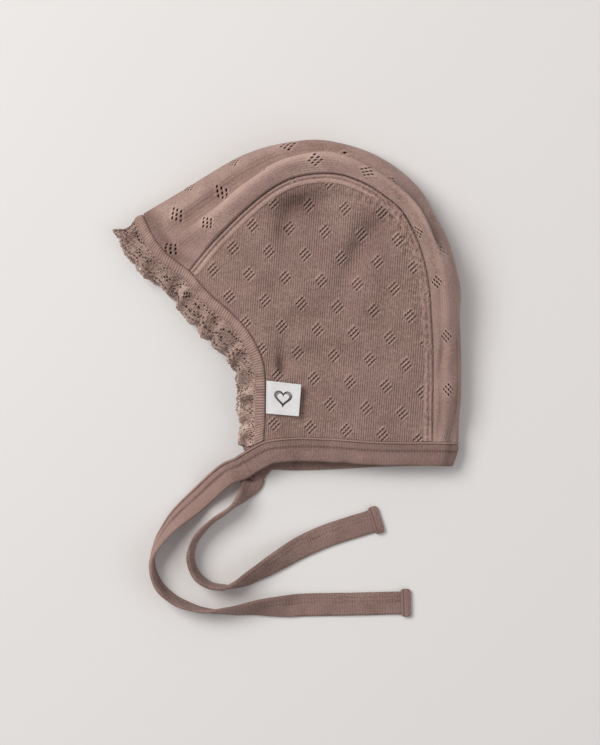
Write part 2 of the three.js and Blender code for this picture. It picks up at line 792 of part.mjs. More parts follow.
// The label lies over the near panel, sewn in beside the band, with its loose edge standing off.
function label() {
  const steps = 6;
  const turn = THREE.MathUtils.degToRad(labelPlace.turn);
  const corner = place({ along: labelPlace.along, up: labelPlace.up, lift: 0 });
  const points = [];
  for (let i = 0; i <= steps; i++) {
    const across = (i / steps) * labelWidth;
    points.push(
      Array.from({ length: steps + 1 }, (_, j) => {
        const fall = (j / steps - 1) * labelHeight;
        const x = corner.x + across * Math.cos(turn) - fall * Math.sin(turn);
        const y = corner.y + across * Math.sin(turn) + fall * Math.cos(turn);
        const curl = labelCurl * (i / steps) ** 2;
        const height = panelHeight(x, y) + proud + labelClearance + labelWall + curl;
        return new THREE.Vector3(x, y, height);
      }),
    );
  }
  return shell(points, gridNormals(points), labelWall, 0);
}

const finishes = {
  knit: { color: 0x94807a, roughness: 0.9, metalness: 0 },
  ribbed: { color: 0x8c766c, roughness: 0.9, metalness: 0 },
  lace: { color: 0xa38c82, roughness: 0.85, metalness: 0 },
  woven: { color: 0xe8e6e2, roughness: 0.7, metalness: 0 },
};

const bonnet = new THREE.Group();
bonnet.name = "baby_bonnet";

function addPiece(name, geometry, finish) {
  const mesh = new THREE.Mesh(geometry, new THREE.MeshStandardMaterial(finishes[finish]));
  mesh.name = name;
  bonnet.add(mesh);
}

addPiece("side_panel_near", nearPanel(), "knit");
addPiece("side_panel_far", farPanel(), "knit");
addPiece("crown_gusset", crownGusset(), "knit");
addPiece("front_band", frontBand(), "ribbed");
addPiece("lace_trim", laceTrim(), "lace");
addPiece("neck_binding", neckBinding(), "ribbed");
addPiece("tie_near", strap(nearTie, tieWidth, tieWall), "ribbed");
addPiece("tie_far", strap(farTie, tieWidth, tieWall), "ribbed");
addPiece("tie_end_near", tieEnd(nearTie), "ribbed");
addPiece("tie_end_far", tieEnd(farTie), "ribbed");
addPiece("label", label(), "woven");

export default bonnet;
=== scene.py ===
import math
from types import SimpleNamespace

import bmesh
import bpy
import numpy as np
from mathutils import Matrix, Vector
from mathutils.kdtree import KDTree


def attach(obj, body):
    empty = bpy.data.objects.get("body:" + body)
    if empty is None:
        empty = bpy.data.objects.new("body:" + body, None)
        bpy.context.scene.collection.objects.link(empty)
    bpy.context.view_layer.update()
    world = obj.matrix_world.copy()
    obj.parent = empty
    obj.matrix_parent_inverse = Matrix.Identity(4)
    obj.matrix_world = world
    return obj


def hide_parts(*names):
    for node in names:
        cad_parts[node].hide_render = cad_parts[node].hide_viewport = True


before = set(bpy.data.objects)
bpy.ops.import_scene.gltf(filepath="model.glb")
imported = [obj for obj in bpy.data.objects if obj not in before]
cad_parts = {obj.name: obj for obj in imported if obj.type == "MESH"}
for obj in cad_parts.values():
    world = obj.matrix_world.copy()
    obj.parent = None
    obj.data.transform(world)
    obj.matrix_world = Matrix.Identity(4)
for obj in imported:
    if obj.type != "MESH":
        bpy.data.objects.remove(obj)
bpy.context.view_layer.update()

# A baby bonnet in fine rib knit, lying on its side. Lengths below are in millimetres and meshes are
# written in metres. The form comes from the same tables as the part, so each piece fits its node.
metre = 0.001


# Centripetal curve through points, at shares of its parameter. Points may carry an extra axis.
def throughPoints(points, shares):
    points = np.asarray(points, float)
    count = len(points)
    first, last = 2 * points[0] - points[1], 2 * points[-1] - points[-2]
    padded = np.concatenate([first[None], points, last[None]])
    reach = np.clip(shares, 0, 1) * (count - 1)
    piece = np.clip(np.floor(reach).astype(int), 0, count - 2)
    p0, p1, p2, p3 = (padded[piece + k] for k in range(4))

    def gap(p, q):
        return np.maximum(np.sum((q - p) ** 2, axis=-1, keepdims=True), 1e-8) ** 0.25

    d0, d1, d2 = gap(p0, p1), gap(p1, p2), gap(p2, p3)
    slope1 = ((p1 - p0) / d0 - (p2 - p0) / (d0 + d1) + (p2 - p1) / d1) * d1
    slope2 = ((p2 - p1) / d1 - (p3 - p1) / (d1 + d2) + (p3 - p2) / d2) * d1
    way = reach - piece
    way = way.reshape(way.shape + (1,) * (p1.ndim - way.ndim))
    rise = 3 * (p2 - p1) - 2 * slope1 - slope2
    return p1 + slope1 * way + rise * way**2 + (2 * (p1 - p2) + slope1 + slope2) * way**3


def runLengths(line):
    return np.concatenate([[0], np.cumsum(np.linalg.norm(np.diff(line, axis=0), axis=1))])


# The parameter of a curve at shares of its length.
def evenShares(points, shares, steps=400):
    grid = np.linspace(0, 1, steps + 1)
    lengths = runLengths(throughPoints(points, grid))
    return np.interp(shares, lengths / lengths[-1], grid)


# A curve as a function of a share, which goes straight on a little way past both ends.
def edgeCurve(points, even=True, start=0.0, end=1.0):
    grid = np.linspace(0, 1, 401)
    table = evenShares(points, grid)
    step = 1e-3
    tips = throughPoints(points, np.array([0, step, 1 - step, 1])) / step

    def at(share):
        wanted = start + (end - start) * np.asarray(share, float)
        inside = np.clip(wanted, 0, 1)
        base = throughPoints(points, np.interp(inside, grid, table) if even else inside)
        beyond = (wanted - inside)[..., None]
        before, after = np.minimum(beyond, 0), np.maximum(beyond, 0)
        return base + before * (tips[1] - tips[0]) + after * (tips[3] - tips[2])

    return at


def ease(share):
    t = np.clip(share, 0, 1)
    return t * t * (3 - 2 * t)


def hump(value, middle, spread):
    return np.exp(-(((value - middle) / spread) ** 2))


# The sum of humps from rows of middle, spread and height.
def humps(rows, value):
    return sum(height * hump(value, middle, spread) for middle, spread, height in rows)


# Goes from 0 to 1 after start and back to 0 after end, over the two lengths given.
def window(value, start, rising, end, falling):
    return ease((value - start) / rising) * (1 - ease((value - end) / falling))


# 1 inside a share and 0 at both its ends.
def insideEnds(share, steepness):
    return ease(share * steepness) * ease((1 - share) * steepness)


# The sum of long soft folds in plan, from rows of place, half length, half width, turn and height.
def foldHeight(rows, x, y):
    height = np.zeros(np.shape(x))
    for px, py, long, wide, turn, rise in rows:
        c, s = math.cos(math.radians(turn)), math.sin(math.radians(turn))
        dx, dy = x - px, y - py
        height += rise * hump(dx * c + dy * s, 0, long) * hump(dy * c - dx * s, 0, wide)
    return height


def unit(vectors):
    return vectors / np.maximum(np.linalg.norm(vectors, axis=-1, keepdims=True), 1e-9)


# Height at a distance, from rows of distance and height that are rounded off between rows.
def softProfile(rows, distance):
    places, heights = (np.array(column, float) for column in zip(*rows))
    k = np.clip(np.searchsorted(places, distance) - 1, 0, len(places) - 2)
    way = ease((distance - places[k]) / (places[k + 1] - places[k]))
    return heights[k] + (heights[k + 1] - heights[k]) * way


# The bonnet's form
bonnet = {
    "length": 160, "height": 162, "loft": 28, "bandWidth": 5.5, "bandWall": 1.7,
    "bindingWidth": 12.2, "bindingWall": 2, "proud": 0.4, "cornerShare": 0.55,
    "gussetSteps": 14, "panelAlong": 24, "panelUp": 20, "seamGap": 0.3,
}
scale = np.array([bonnet["length"], bonnet["height"], bonnet["loft"]], float)

# seam, ridge (way, lift), rim and bow of each section of the crown, from the face to the nape
crownRows = [
    ((-0.451, 0.183, 0.34), (0.4, 0.38), (-0.597, 0.359, 0.17), 0.022),
    ((-0.366, 0.281, 0.47), (0.34, 0.52), (-0.47, 0.433, 0.2), 0.008),
    ((-0.217, 0.415, 0.7), (0.36, 0.8), (-0.296, 0.534, 0.23), 0),
    ((-0.14, 0.457, 0.78), (0.45, 0.91), (-0.187, 0.569, 0.25), 0),
    ((-0.06, 0.473, 0.82), (0.5, 0.97), (-0.069, 0.583, 0.27), 0),
    ((0.013, 0.47, 0.85), (0.5, 1), (0.052, 0.565, 0.28), 0),
    ((0.087, 0.444, 0.86), (0.47, 1), (0.155, 0.521, 0.29), 0),
    ((0.152, 0.404, 0.86), (0.48, 1), (0.239, 0.457, 0.29), 0),
    ((0.207, 0.356, 0.84), (0.5, 0.97), (0.295, 0.383, 0.29), 0),
    ((0.272, 0.211, 0.79), (0.52, 0.86), (0.369, 0.22, 0.29), 0),
    ((0.298, -0.002, 0.66), (0.5, 0.67), (0.391, 0, 0.26), 0),
    ((0.301, -0.341, 0.45), (0.5, 0.44), (0.381, -0.343, 0.22), 0),
]
crownFlank = {"stepWay": 0.42, "stepFall": 0.42, "stripWay": 0.85, "stripFall": 0.66}
crownUnder = {"turnWay": 0.9, "turnLift": 0.25, "restWay": 0.5}
faceRows = [
    (-0.22, -0.339, 0.4), (-0.214, -0.24, 0.44), (-0.214, -0.166, 0.48), (-0.224, -0.09, 0.5),
    (-0.267, -0.004, 0.5), (-0.326, 0.059, 0.46), (-0.391, 0.115, 0.4),
]
nearNeckRows = [
    (-0.296, -0.38, 0.33), (-0.255, -0.356, 0.37), (-0.22, -0.339, 0.4), (-0.137, -0.328, 0.42),
    (-0.016, -0.33, 0.44), (0.139, -0.34, 0.45), (0.301, -0.341, 0.45),
]
farNeckRows = [
    (-0.278, -0.408, 0), (-0.247, -0.374, 0), (-0.212, -0.357, 0), (-0.125, -0.356, 0),
    (-0.016, -0.353, 0), (0.125, -0.346, 0), (0.301, -0.341, 0),
]
neckCorner = 2  # row of the neck tables where the panel's hem starts
# along, up, half length, half width, turn and depth of the near panel's large dents
dentRows = np.array([
    (0, 0.02, 0.24, 0.2, 0, -0.1), (-0.16, 0.31, 0.06, 0.035, 90, -0.06),
    (0.065, 0.22, 0.12, 0.04, 66, -0.08), (-0.16, -0.09, 0.045, 0.035, 0, -0.05),
    (-0.11, -0.03, 0.06, 0.05, 30, 0.04), (0.2, 0.1, 0.16, 0.05, 80, 0.05),
]) * [bonnet["length"], bonnet["height"], bonnet["length"], bonnet["length"], 1, bonnet["loft"]]


def crownSection(row):
    seam, ridge, rim, bow = row
    seam, rim = np.array(seam) * scale, np.array(rim) * scale
    ridgeHeight = ridge[1] * bonnet["loft"]
    across = unit((rim - seam) * [1, 1, 0])
    front = np.array([-across[1], across[0], 0])

    def at(way, height):
        place = seam + (rim - seam) * way
        place[2] = height
        return place + front * bow * bonnet["length"] * math.sin(math.pi * way)

    def flank(way, fall):
        return at(ridge[0] + (1 - ridge[0]) * way, ridgeHeight + (rim[2] - ridgeHeight) * fall)

    return [
        at(0, seam[2]), at(ridge[0], ridgeHeight),
        flank(crownFlank["stepWay"], crownFlank["stepFall"]),
        flank(crownFlank["stripWay"], crownFlank["stripFall"]),
        at(1, rim[2]), at(crownUnder["turnWay"], rim[2] * crownUnder["turnLift"]),
        at(crownUnder["restWay"], 0), at(0, 0),
    ]


sections = np.array([crownSection(row) for row in crownRows])
seamPoints = sections[:, 0]


# Points of the crown as a grid, for shares t along it and ways w across it.
def crownGrid(t, w):
    lines = throughPoints(sections.transpose(1, 0, 2), w)
    grid = throughPoints(lines.transpose(1, 0, 2), t)
    grid[..., 2] = np.maximum(grid[..., 2], 0)
    return grid


def neckCurves(rows):
    points = np.array(rows) * scale
    start = neckCorner / (len(rows) - 1)
    return edgeCurve(points, False, start, 1), edgeCurve(points, False, start, 0)


faceCurve = edgeCurve(np.concatenate([np.array(faceRows) * scale, seamPoints[:1]]))
nearHem, nearFront = neckCurves(nearNeckRows)
farHem, farFront = neckCurves(farNeckRows)
topEdge = edgeCurve(seamPoints, True, 0, bonnet["cornerShare"])
backEdge = edgeCurve(seamPoints, True, 1, bonnet["cornerShare"])


def onSurface(curve):
    return lambda share: curve(share) * [1, 1, 0]


def farFaceCurve(share):
    drawn = (farHem(0) - nearHem(0)) * [1, 1, 0]
    return faceCurve(share) * [1, 1, 0] + drawn * (1 - np.asarray(share, float))[..., None]


# A four-sided panel by shares from face to back and from neck to crown.
def panelPoint(hem, top, front, back, a, b):
    p, q = np.asarray(a, float)[..., None], np.asarray(b, float)[..., None]
    point = hem(a) * (1 - q) + top(a) * q + front(b) * (1 - p) + back(b) * p
    for u, v, corner in ((0, 0, hem(0)), (1, 0, hem(1)), (0, 1, top(0)), (1, 1, top(1))):
        point = point - corner * ((p if u else 1 - p) * (q if v else 1 - q))
    return point


def nearPanelPoint(a, b):
    point = panelPoint(nearHem, topEdge, faceCurve, backEdge, a, b)
    dents = foldHeight(dentRows, point[..., 0], point[..., 1])
    point[..., 2] += dents * insideEnds(a, 4) * insideEnds(b, 4)
    return point


def farPanelPoint(a, b):
    return panelPoint(farHem, onSurface(topEdge), farFaceCurve, onSurface(backEdge), a, b)


def gridNormals(points):
    return unit(np.cross(np.gradient(points, axis=0), np.gradient(points, axis=1)))


def coarseGrids():
    along, up, corner = bonnet["panelAlong"], bonnet["panelUp"], bonnet["cornerShare"]
    shares = np.concatenate([np.linspace(0, corner, along + 1), np.linspace(corner, 1, up + 1)[1:]])
    gusset = crownGrid(evenShares(seamPoints, shares), np.linspace(0, 1, bonnet["gussetSteps"] + 1))
    a, b = np.meshgrid(np.linspace(0, 1, along + 1), np.linspace(0, 1, up + 1), indexing="ij")
    near = nearPanelPoint(a, b)
    gussetNormals, nearNormals = gridNormals(gusset), gridNormals(near)
    gussetNormals[:, -1] = (0, 0, -1)
    for step in range(along + up + 1):
        i, j = (step, up) if step <= along else (along, along + up - step)
        shared = unit(nearNormals[i, j] + gussetNormals[step, 0])
        nearNormals[i, j] = gussetNormals[step, 0] = shared
    return near, nearNormals, gusset, gussetNormals


nearCoarse, nearCoarseNormals, gussetCoarse, gussetCoarseNormals = coarseGrids()


# The rows before and after each row, with the end rows repeated.
def neighbours(rows):
    return np.concatenate([rows[:1], rows[:-1]]), np.concatenate([rows[1:], rows[-1:]])


# An edge that trims are sewn to: points, the cloth's normals and the way off the cloth.
def edgeFrames(points, normals, side):
    before, after = neighbours(normals)
    soft = unit(normals * 2 + before + after)
    before, after = neighbours(points)
    along = unit(after - before)
    off = unit(np.cross(soft, along) * side)
    return {"point": points.copy(), "normal": soft, "off": off, "along": along}


def faceEdgeFrames():
    steps = bonnet["panelUp"]
    farFace = farFaceCurve(1 - np.arange(1, steps + 1) / steps)
    points = np.concatenate([nearCoarse[0], gussetCoarse[0, 1:], farFace])
    down = np.tile([0.0, 0, -1], (steps, 1))
    frames = edgeFrames(points, np.concatenate([nearCoarseNormals[0], gussetCoarseNormals[0, 1:], down]), 1)
    for ends, nearSide in ((nearFront, True), (farFront, False)):  # the ends turn along the binding's end
        target = unit(ends(0.5) - ends(0))
        for k, weight in enumerate((1, 0.75, 0.45, 0.2)):
            place = k if nearSide else len(points) - 1 - k
            frames["off"][place] = unit(frames["off"][place] * (1 - weight) + target * weight)
    return frames


def neckEdgeFrames():
    fronts, along = 4, bonnet["panelAlong"]
    nearEnd = nearFront(1 - np.arange(fronts) / fronts)
    farEnd = farFront((np.arange(fronts) + 1) / fronts)
    farSide = farHem(1 - np.arange(1, along + 1) / along)
    points = np.concatenate([nearEnd, nearCoarse[:, 0], gussetCoarse[-1, 1:], farSide, farEnd])
    normals = np.concatenate([
        np.tile(nearCoarseNormals[0, 0], (fronts, 1)), nearCoarseNormals[:, 0],
        gussetCoarseNormals[-1, 1:], np.tile([0.0, 0, -1], (along + fronts, 1)),
    ])
    return edgeFrames(points, normals, -1)


faceFrames = faceEdgeFrames()
neckFrames = neckEdgeFrames()


def clearOfSurface(height):
    return ease(height / (bonnet["loft"] * 0.2))


# Frames again at even steps along a line that lies off the edge, with both ends drawn back.
def fineFrames(frames, off, spacing, drawBack):
    lengths = runLengths(frames["point"] + frames["off"] * off)
    count = int(round((lengths[-1] - 2 * drawBack) / spacing))
    wanted = np.linspace(drawBack, lengths[-1] - drawBack, count + 1)
    share = np.interp(wanted, lengths, np.linspace(0, 1, len(lengths)))
    fine = {key: throughPoints(frames[key], share) for key in ("point", "normal", "off")}
    fine["normal"], fine["off"] = unit(fine["normal"]), unit(fine["off"])
    fine["along"] = unit(np.gradient(fine["point"], axis=0))
    fine["run"] = wanted
    return fine


# Uneven waves over a plan, the same in every run.
def wrinkles(x, y, length, seed, waves=7):
    rng = np.random.default_rng(seed)
    total = np.zeros(np.shape(x))
    turns = rng.uniform(0, np.pi, waves)
    phases = rng.uniform(0, 2 * np.pi, waves)
    for turn, phase, share in zip(turns, phases, rng.uniform(0.7, 1.5, waves)):
        way = x * math.cos(turn) + y * math.sin(turn)
        total += np.sin(way * 2 * np.pi / (length * share) + phase)
    return total / math.sqrt(waves)


# A flat grid made by the operator, with the column and row of each vertex.
def gridMesh(columns, rows):
    bm = bmesh.new()
    bmesh.ops.create_grid(bm, x_segments=columns, y_segments=rows, size=1)
    flat = np.array([vert.co[:2] for vert in bm.verts])
    column = np.rint((flat[:, 0] + 1) / 2 * columns).astype(int)
    row = np.rint((flat[:, 1] + 1) / 2 * rows).astype(int)
    return bm, column, row


# Moves the vertices to their places and gives each a place on the cloth in its own map, and a value of
# painted shade there: above zero it darkens the cloth as painted shade, below zero it lightens it as painted
# highlight.
def shapeGrid(bm, points, cloth, paintedShadeTone):
    layer = bm.loops.layers.uv.new("cloth")
    depth = bm.verts.layers.float.new("paintedShadeTone")
    clothList = (np.asarray(cloth, float) / 100).tolist()
    for vert, place, low in zip(bm.verts, (np.asarray(points) * metre).tolist(), paintedShadeTone.tolist()):
        vert.co = place
        vert[depth] = low
    for face in bm.faces:
        face.smooth = True
        for loop in face.loops:
            loop[layer].uv = clothList[loop.vert.index]


def makePiece(bm, name, material, nodes=()):
    mesh = bpy.data.meshes.new(name)
    bm.to_mesh(mesh)
    bm.free()
    mesh.materials.append(material)
    piece = bpy.data.objects.new(name, mesh)
    bpy.context.scene.collection.objects.link(piece)
    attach(piece, "root")
    if nodes:
        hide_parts(*nodes)
    print("made", name, len(mesh.polygons), "faces")
    return piece


def addWall(piece, wall):
    mod = piece.modifiers.new("wall", "SOLIDIFY")
    mod.thickness = wall * metre
    mod.offset = -1
    mod.use_even_offset = False


# Materials. These tools make nodes in a tree, with each input linked to an output or set to a value.
def nodeTools(tree):
    def node(kind, inputs=None, **settings):
        made = tree.nodes.new(kind)
        for key, value in settings.items():
            setattr(made, key, value)
        for key, value in (inputs or {}).items():
            if isinstance(value, bpy.types.NodeSocket):
                tree.links.new(value, made.inputs[key])
            else:
                made.inputs[key].default_value = value
        return made

    def calc(operation, *values, clamp=False):
        inputs = dict(enumerate(values))
        return node("ShaderNodeMath", inputs, operation=operation, use_clamp=clamp).outputs[0]

    def noise(place, scale, detail):
        return node("ShaderNodeTexNoise", {"Vector": place, "Scale": scale, "Detail": detail}).outputs["Fac"]

    def remap(value, low, high, lowest=0.0, highest=1.0):
        inputs = {"Value": value, "From Min": low, "From Max": high, "To Min": lowest, "To Max": highest}
        return node("ShaderNodeMapRange", inputs).outputs["Result"]

    def mix(share, *colors):
        inputs = {0: share}
        for key, color in zip((6, 7), colors):  # the node's two colour inputs
            inputs[key] = color if isinstance(color, bpy.types.NodeSocket) else (*color, 1)
        return node("ShaderNodeMix", inputs, data_type="RGBA").outputs[2]

    return SimpleNamespace(node=node, calc=calc, noise=noise, remap=remap, mix=mix)


# A group with number outputs, and inputs that are vectors, or numbers where a value is given.
def newGroup(name, inputs, outputs):
    tree = bpy.data.node_groups.new(name, "ShaderNodeTree")
    for socketName, value in inputs.items():
        kind = "NodeSocketVector" if value is None else "NodeSocketFloat"
        socket = tree.interface.new_socket(name=socketName, in_out="INPUT", socket_type=kind)
        if value is not None:
            socket.default_value = value
    for socketName in outputs:
        tree.interface.new_socket(name=socketName, in_out="OUTPUT", socket_type="NodeSocketFloat")
    return tree, tree.nodes.new("NodeGroupInput"), tree.nodes.new("NodeGroupOutput")


# Knit ribs with their column of V stitches. Cloth is in hundreds of millimetres.
def ribWeaveGroup():
    inputs = {"Cloth": None, "Pitch": 1.1, "Stitch": 0.8}
    tree, given, out = newGroup("ribWeave", inputs, ["Height", "Groove"])
    make = nodeTools(tree)
    calc, cloth = make.calc, given.outputs["Cloth"]
    split = make.node("ShaderNodeSeparateXYZ", {"Vector": cloth})
    tight = make.remap(make.noise(cloth, 62.0, 3.0), 0.36, 0.64, 0.55, 1.25)
    even = calc("DIVIDE", calc("MULTIPLY", split.outputs["X"], 100.0), given.outputs["Pitch"])
    wale = calc("MULTIPLY_ADD", make.noise(cloth, 30.0, 2.0), 0.4, even)
    ridge = calc("COSINE", calc("MULTIPLY", wale, 2 * math.pi))
    side = calc("ABSOLUTE", calc("SUBTRACT", calc("FRACT", calc("ADD", wale, 0.5)), 0.5))
    course = calc("DIVIDE", calc("MULTIPLY", split.outputs["Y"], 100.0), given.outputs["Stitch"])
    slanted = calc("ADD", course, calc("MULTIPLY", side, 1.4))
    stitch = calc("SINE", calc("MULTIPLY", slanted, 2 * math.pi))
    # The groove between ribs, which the materials use as a mask for painted shade.
    groove = calc("POWER", calc("MULTIPLY_ADD", ridge, -0.5, 0.5), 2.0)
    relief = calc("MULTIPLY_ADD", stitch, 0.4, ridge)
    tree.links.new(calc("MULTIPLY", relief, tight), out.inputs["Height"])
    tree.links.new(calc("MULTIPLY", groove, tight), out.inputs["Groove"])
    return tree


# Soft uneven tone and the fuzz of spun cotton, over the object's own coordinates.
def yarnGrainGroup():
    inputs = {"Place": None, "Patch": 60.0, "Fuzz": 1100.0}
    tree, given, out = newGroup("yarnGrain", inputs, ["Tone", "Height"])
    make = nodeTools(tree)
    place = given.outputs["Place"]
    patch = make.calc("MULTIPLY", make.noise(place, given.outputs["Patch"], 3.0), 0.45)
    fuzz = make.noise(place, given.outputs["Fuzz"], 3.0)
    tree.links.new(make.calc("MULTIPLY_ADD", fuzz, 0.55, patch), out.inputs["Tone"])
    tree.links.new(fuzz, out.inputs["Height"])
    return tree


ribWeave = ribWeaveGroup()
yarnGrain = yarnGrainGroup()


clothBase = {"patch": 60.0, "pitch": 1.117, "stitch": 0.84, "roughness": 0.92, "paintedHighlightTone": 1.45}


# Cotton cloth: light and dark tones, the pitch of its ribs and how strongly they show. Painted shade darkens
# it towards its groove colour, in the grooves between its ribs and where each piece's own shade attribute is
# above zero. Below zero that attribute lightens it, as painted highlight on the cloth and as the pale thread
# of the stitches.
def clothMaterial(name, look):
    material = bpy.data.materials.new(name)
    material.use_nodes = True
    tree = material.node_tree
    shader = tree.nodes["Principled BSDF"]
    make = nodeTools(tree)
    place = make.node("ShaderNodeTexCoord").outputs["Object"]
    cloth = make.node("ShaderNodeUVMap", uv_map="cloth").outputs["UV"]
    paintedShadeTone = make.node("ShaderNodeAttribute", attribute_name="paintedShadeTone").outputs["Fac"]
    grain = make.node("ShaderNodeGroup", {"Place": place, "Patch": look["patch"]}, node_tree=yarnGrain)
    ribs = {"Cloth": cloth, "Pitch": look["pitch"], "Stitch": look["stitch"]}
    weave = make.node("ShaderNodeGroup", ribs, node_tree=ribWeave)
    color = make.mix(make.remap(grain.outputs["Tone"], 0.33, 0.67), look["dark"], look["light"])
    faint = make.calc("MULTIPLY", make.remap(make.noise(place, 38.0, 2.0), 0.4, 0.65), 0.55)
    color = make.mix(faint, color, look["blush"])
    # Painted shade: the rib grooves and the pieces' attribute darken the colour towards the groove colour.
    depth = make.calc("MULTIPLY_ADD", weave.outputs["Groove"], look["grooveShade"], paintedShadeTone, clamp=True)
    color = make.mix(depth, color, look["groove"])
    # Painted highlight, and the pale thread of stitches: below zero the attribute lightens the colour.
    raised = make.calc("MULTIPLY", paintedShadeTone, -1.0, clamp=True)
    color = make.mix(raised, color, [look["paintedHighlightTone"] * tone for tone in look["light"]])
    tree.links.new(color, shader.inputs["Base Color"])
    height = make.calc("MULTIPLY_ADD", weave.outputs["Height"], look["ribShow"], grain.outputs["Height"])
    relief = {"Height": height, "Strength": look["bump"], "Distance": look["relief"] * metre}
    tree.links.new(make.node("ShaderNodeBump", relief).outputs["Normal"], shader.inputs["Normal"])
    shader.inputs["Roughness"].default_value = look["roughness"]
    shader.inputs["Specular IOR Level"].default_value = 0.2
    shader.inputs["Sheen Weight"].default_value = look["sheen"]
    shader.inputs["Sheen Roughness"].default_value = 0.5
    return material


cloths = {
    "knit": {
        "dark": (0.288, 0.179, 0.149), "light": (0.450, 0.308, 0.263), "blush": (0.372, 0.240, 0.214),
        "groove": (0.110, 0.060, 0.047), "grooveShade": 0.4, "ribShow": 0.9, "bump": 0.8, "relief": 0.28,
        "sheen": 0.1,
    },
    "softKnit": {
        "dark": (0.250, 0.155, 0.130), "light": (0.510, 0.357, 0.308), "blush": (0.372, 0.240, 0.215),
        "groove": (0.100, 0.054, 0.042), "grooveShade": 0.07, "ribShow": 0.25, "bump": 0.8, "relief": 0.26,
        "sheen": 0.14,
    },
    "bandRib": {
        "dark": (0.275, 0.173, 0.145), "light": (0.500, 0.348, 0.298), "blush": (0.375, 0.243, 0.216),
        "groove": (0.110, 0.060, 0.048), "pitch": 1.3, "grooveShade": 0.1, "ribShow": 0.2, "bump": 0.7,
        "relief": 0.25, "sheen": 0.1,
    },
    "ribbed": {
        "dark": (0.208, 0.129, 0.108), "light": (0.392, 0.262, 0.227), "blush": (0.278, 0.176, 0.159),
        "groove": (0.100, 0.055, 0.044), "pitch": 1.25, "grooveShade": 0.16, "ribShow": 0.4, "bump": 0.75,
        "relief": 0.24, "sheen": 0.12,
    },
    "lace": {
        "dark": (0.372, 0.241, 0.202), "light": (0.645, 0.468, 0.402), "blush": (0.512, 0.350, 0.300),
        "groove": (0.205, 0.126, 0.101), "patch": 260.0, "pitch": 0.9, "stitch": 0.7, "grooveShade": 0.3,
        "ribShow": 0.7, "bump": 0.9, "relief": 0.3, "sheen": 0.12,
    },
    "woven": {
        "dark": (0.740, 0.730, 0.725), "light": (0.820, 0.815, 0.815), "blush": (0.770, 0.765, 0.770),
        "groove": (0.440, 0.430, 0.420), "patch": 120.0, "pitch": 0.36, "stitch": 0.36, "grooveShade": 0.2,
        "ribShow": 0.6, "bump": 0.35, "relief": 0.06, "sheen": 0.0,
    },
    "motif": {
        "dark": (0.050, 0.036, 0.034), "light": (0.095, 0.070, 0.066), "blush": (0.065, 0.048, 0.046),
        "groove": (0.030, 0.022, 0.020), "patch": 220.0, "pitch": 0.3, "stitch": 0.3, "grooveShade": 0.2,
        "ribShow": 0.4, "bump": 0.3, "relief": 0.06, "sheen": 0.0,
    },
}
materials = {name: clothMaterial(name, clothBase | look) for name, look in cloths.items()}
print("materials ready")

# Knit with small openwork diamonds. Columns run three to a wale and a wale is raised at every third.
knit = {"walePitch": 1.117, "rowRise": 0.6745}


# Works the diamonds whose middles are given in wales and rows. Each is three slanting slits with three
# holes in each: the vertices round a hole are spread out, and its faces are picked for deletion.
def openDiamonds(column, row, firstWale, firstRow, middles, look):
    wale, course = column / 3 + firstWale, (row + firstRow).astype(float)
    waleOut, courseOut = wale.copy(), course.copy()
    relief = look["ribHeight"] * np.cos(2 * np.pi * wale)
    paintedShadeTone = np.zeros(len(wale))
    lookup = {key: index for index, key in enumerate(zip(column.tolist(), row.tolist()))}
    holes = set()
    for middleWale, middleRow in middles:
        du, dr = wale - middleWale - 0.5, course - middleRow
        near = np.nonzero((np.abs(du) < 4) & (np.abs(dr) < 8))[0]
        p, q = (du[near] + dr[near] / 2) / 2, (du[near] - dr[near] / 2) / 2
        reach = ease((1.75 - np.abs(p)) / 0.5)
        slit = sum(hump(q, k, 0.17) for k in (-1, 0, 1))
        slit = slit * (1 - look["apart"] * (0.5 - 0.5 * np.cos(2 * np.pi * p)))
        ridge = sum(hump(q, k, 0.22) for k in (-1.5, -0.5, 0.5, 1.5))
        relief[near] += reach * (look["rimRise"] * ridge - look["sink"] * slit)
        # Painted shade in the slits and painted highlight on the ridges between them.
        paintedShadeTone[near] += reach * (look["dark"] * slit - look["ridgeHighlight"] * ridge)
        for p in (-1, 0, 1):
            for q in (-1, 0, 1):
                k, r = int(middleWale) + p + q, int(middleRow) + 2 * (p - q)
                left, height = (k - firstWale) * 3 + 1, r - firstRow
                for rise in (-1, 0, 1):
                    half = look["holeWide"] if rise == 0 else look["holeNarrow"]
                    for side in (0, 1):
                        index = lookup.get((left + side, height + rise))
                        if index is not None:
                            waleOut[index] = k + 0.5 + look["slant"] * rise + (half if side else -half)
                            courseOut[index] = r + rise * 1.1
                holes.add((left, height - 1))
                holes.add((left, height))
    return waleOut, courseOut, relief, paintedShadeTone, holes


def diamondGrid(wales, rows, wale0=0, row0=0):
    middles = []
    for r in range(math.floor(rows[0] / 18) - 1, math.ceil(rows[1] / 18) + 2):
        for i in range(math.floor(wales[0] / 16) - 1, math.ceil(wales[1] / 16) + 2):
            middles.append((wale0 + 16 * i + (8 if r % 2 else 0), row0 + 18 * r))
    return middles


def cutFaces(bm, column, row, holes, outside):
    doomed = []
    for face in bm.faces:
        corners = [vert.index for vert in face.verts]
        low = (min(column[k] for k in corners), min(row[k] for k in corners))
        if low in holes or all(outside[k] for k in corners):
            doomed.append(face)
    bmesh.ops.delete(bm, geom=doomed, context="FACES")


# The number of the nearest of some places to each wanted point, and its distance.
def nearestPlaces(places, wanted):
    tree = KDTree(len(places))
    for k, place in enumerate(places.tolist()):
        tree.insert(place, k)
    tree.balance()
    found = [tree.find(place) for place in wanted.tolist()]
    return np.array([item[1] for item in found]), np.array([item[2] for item in found])


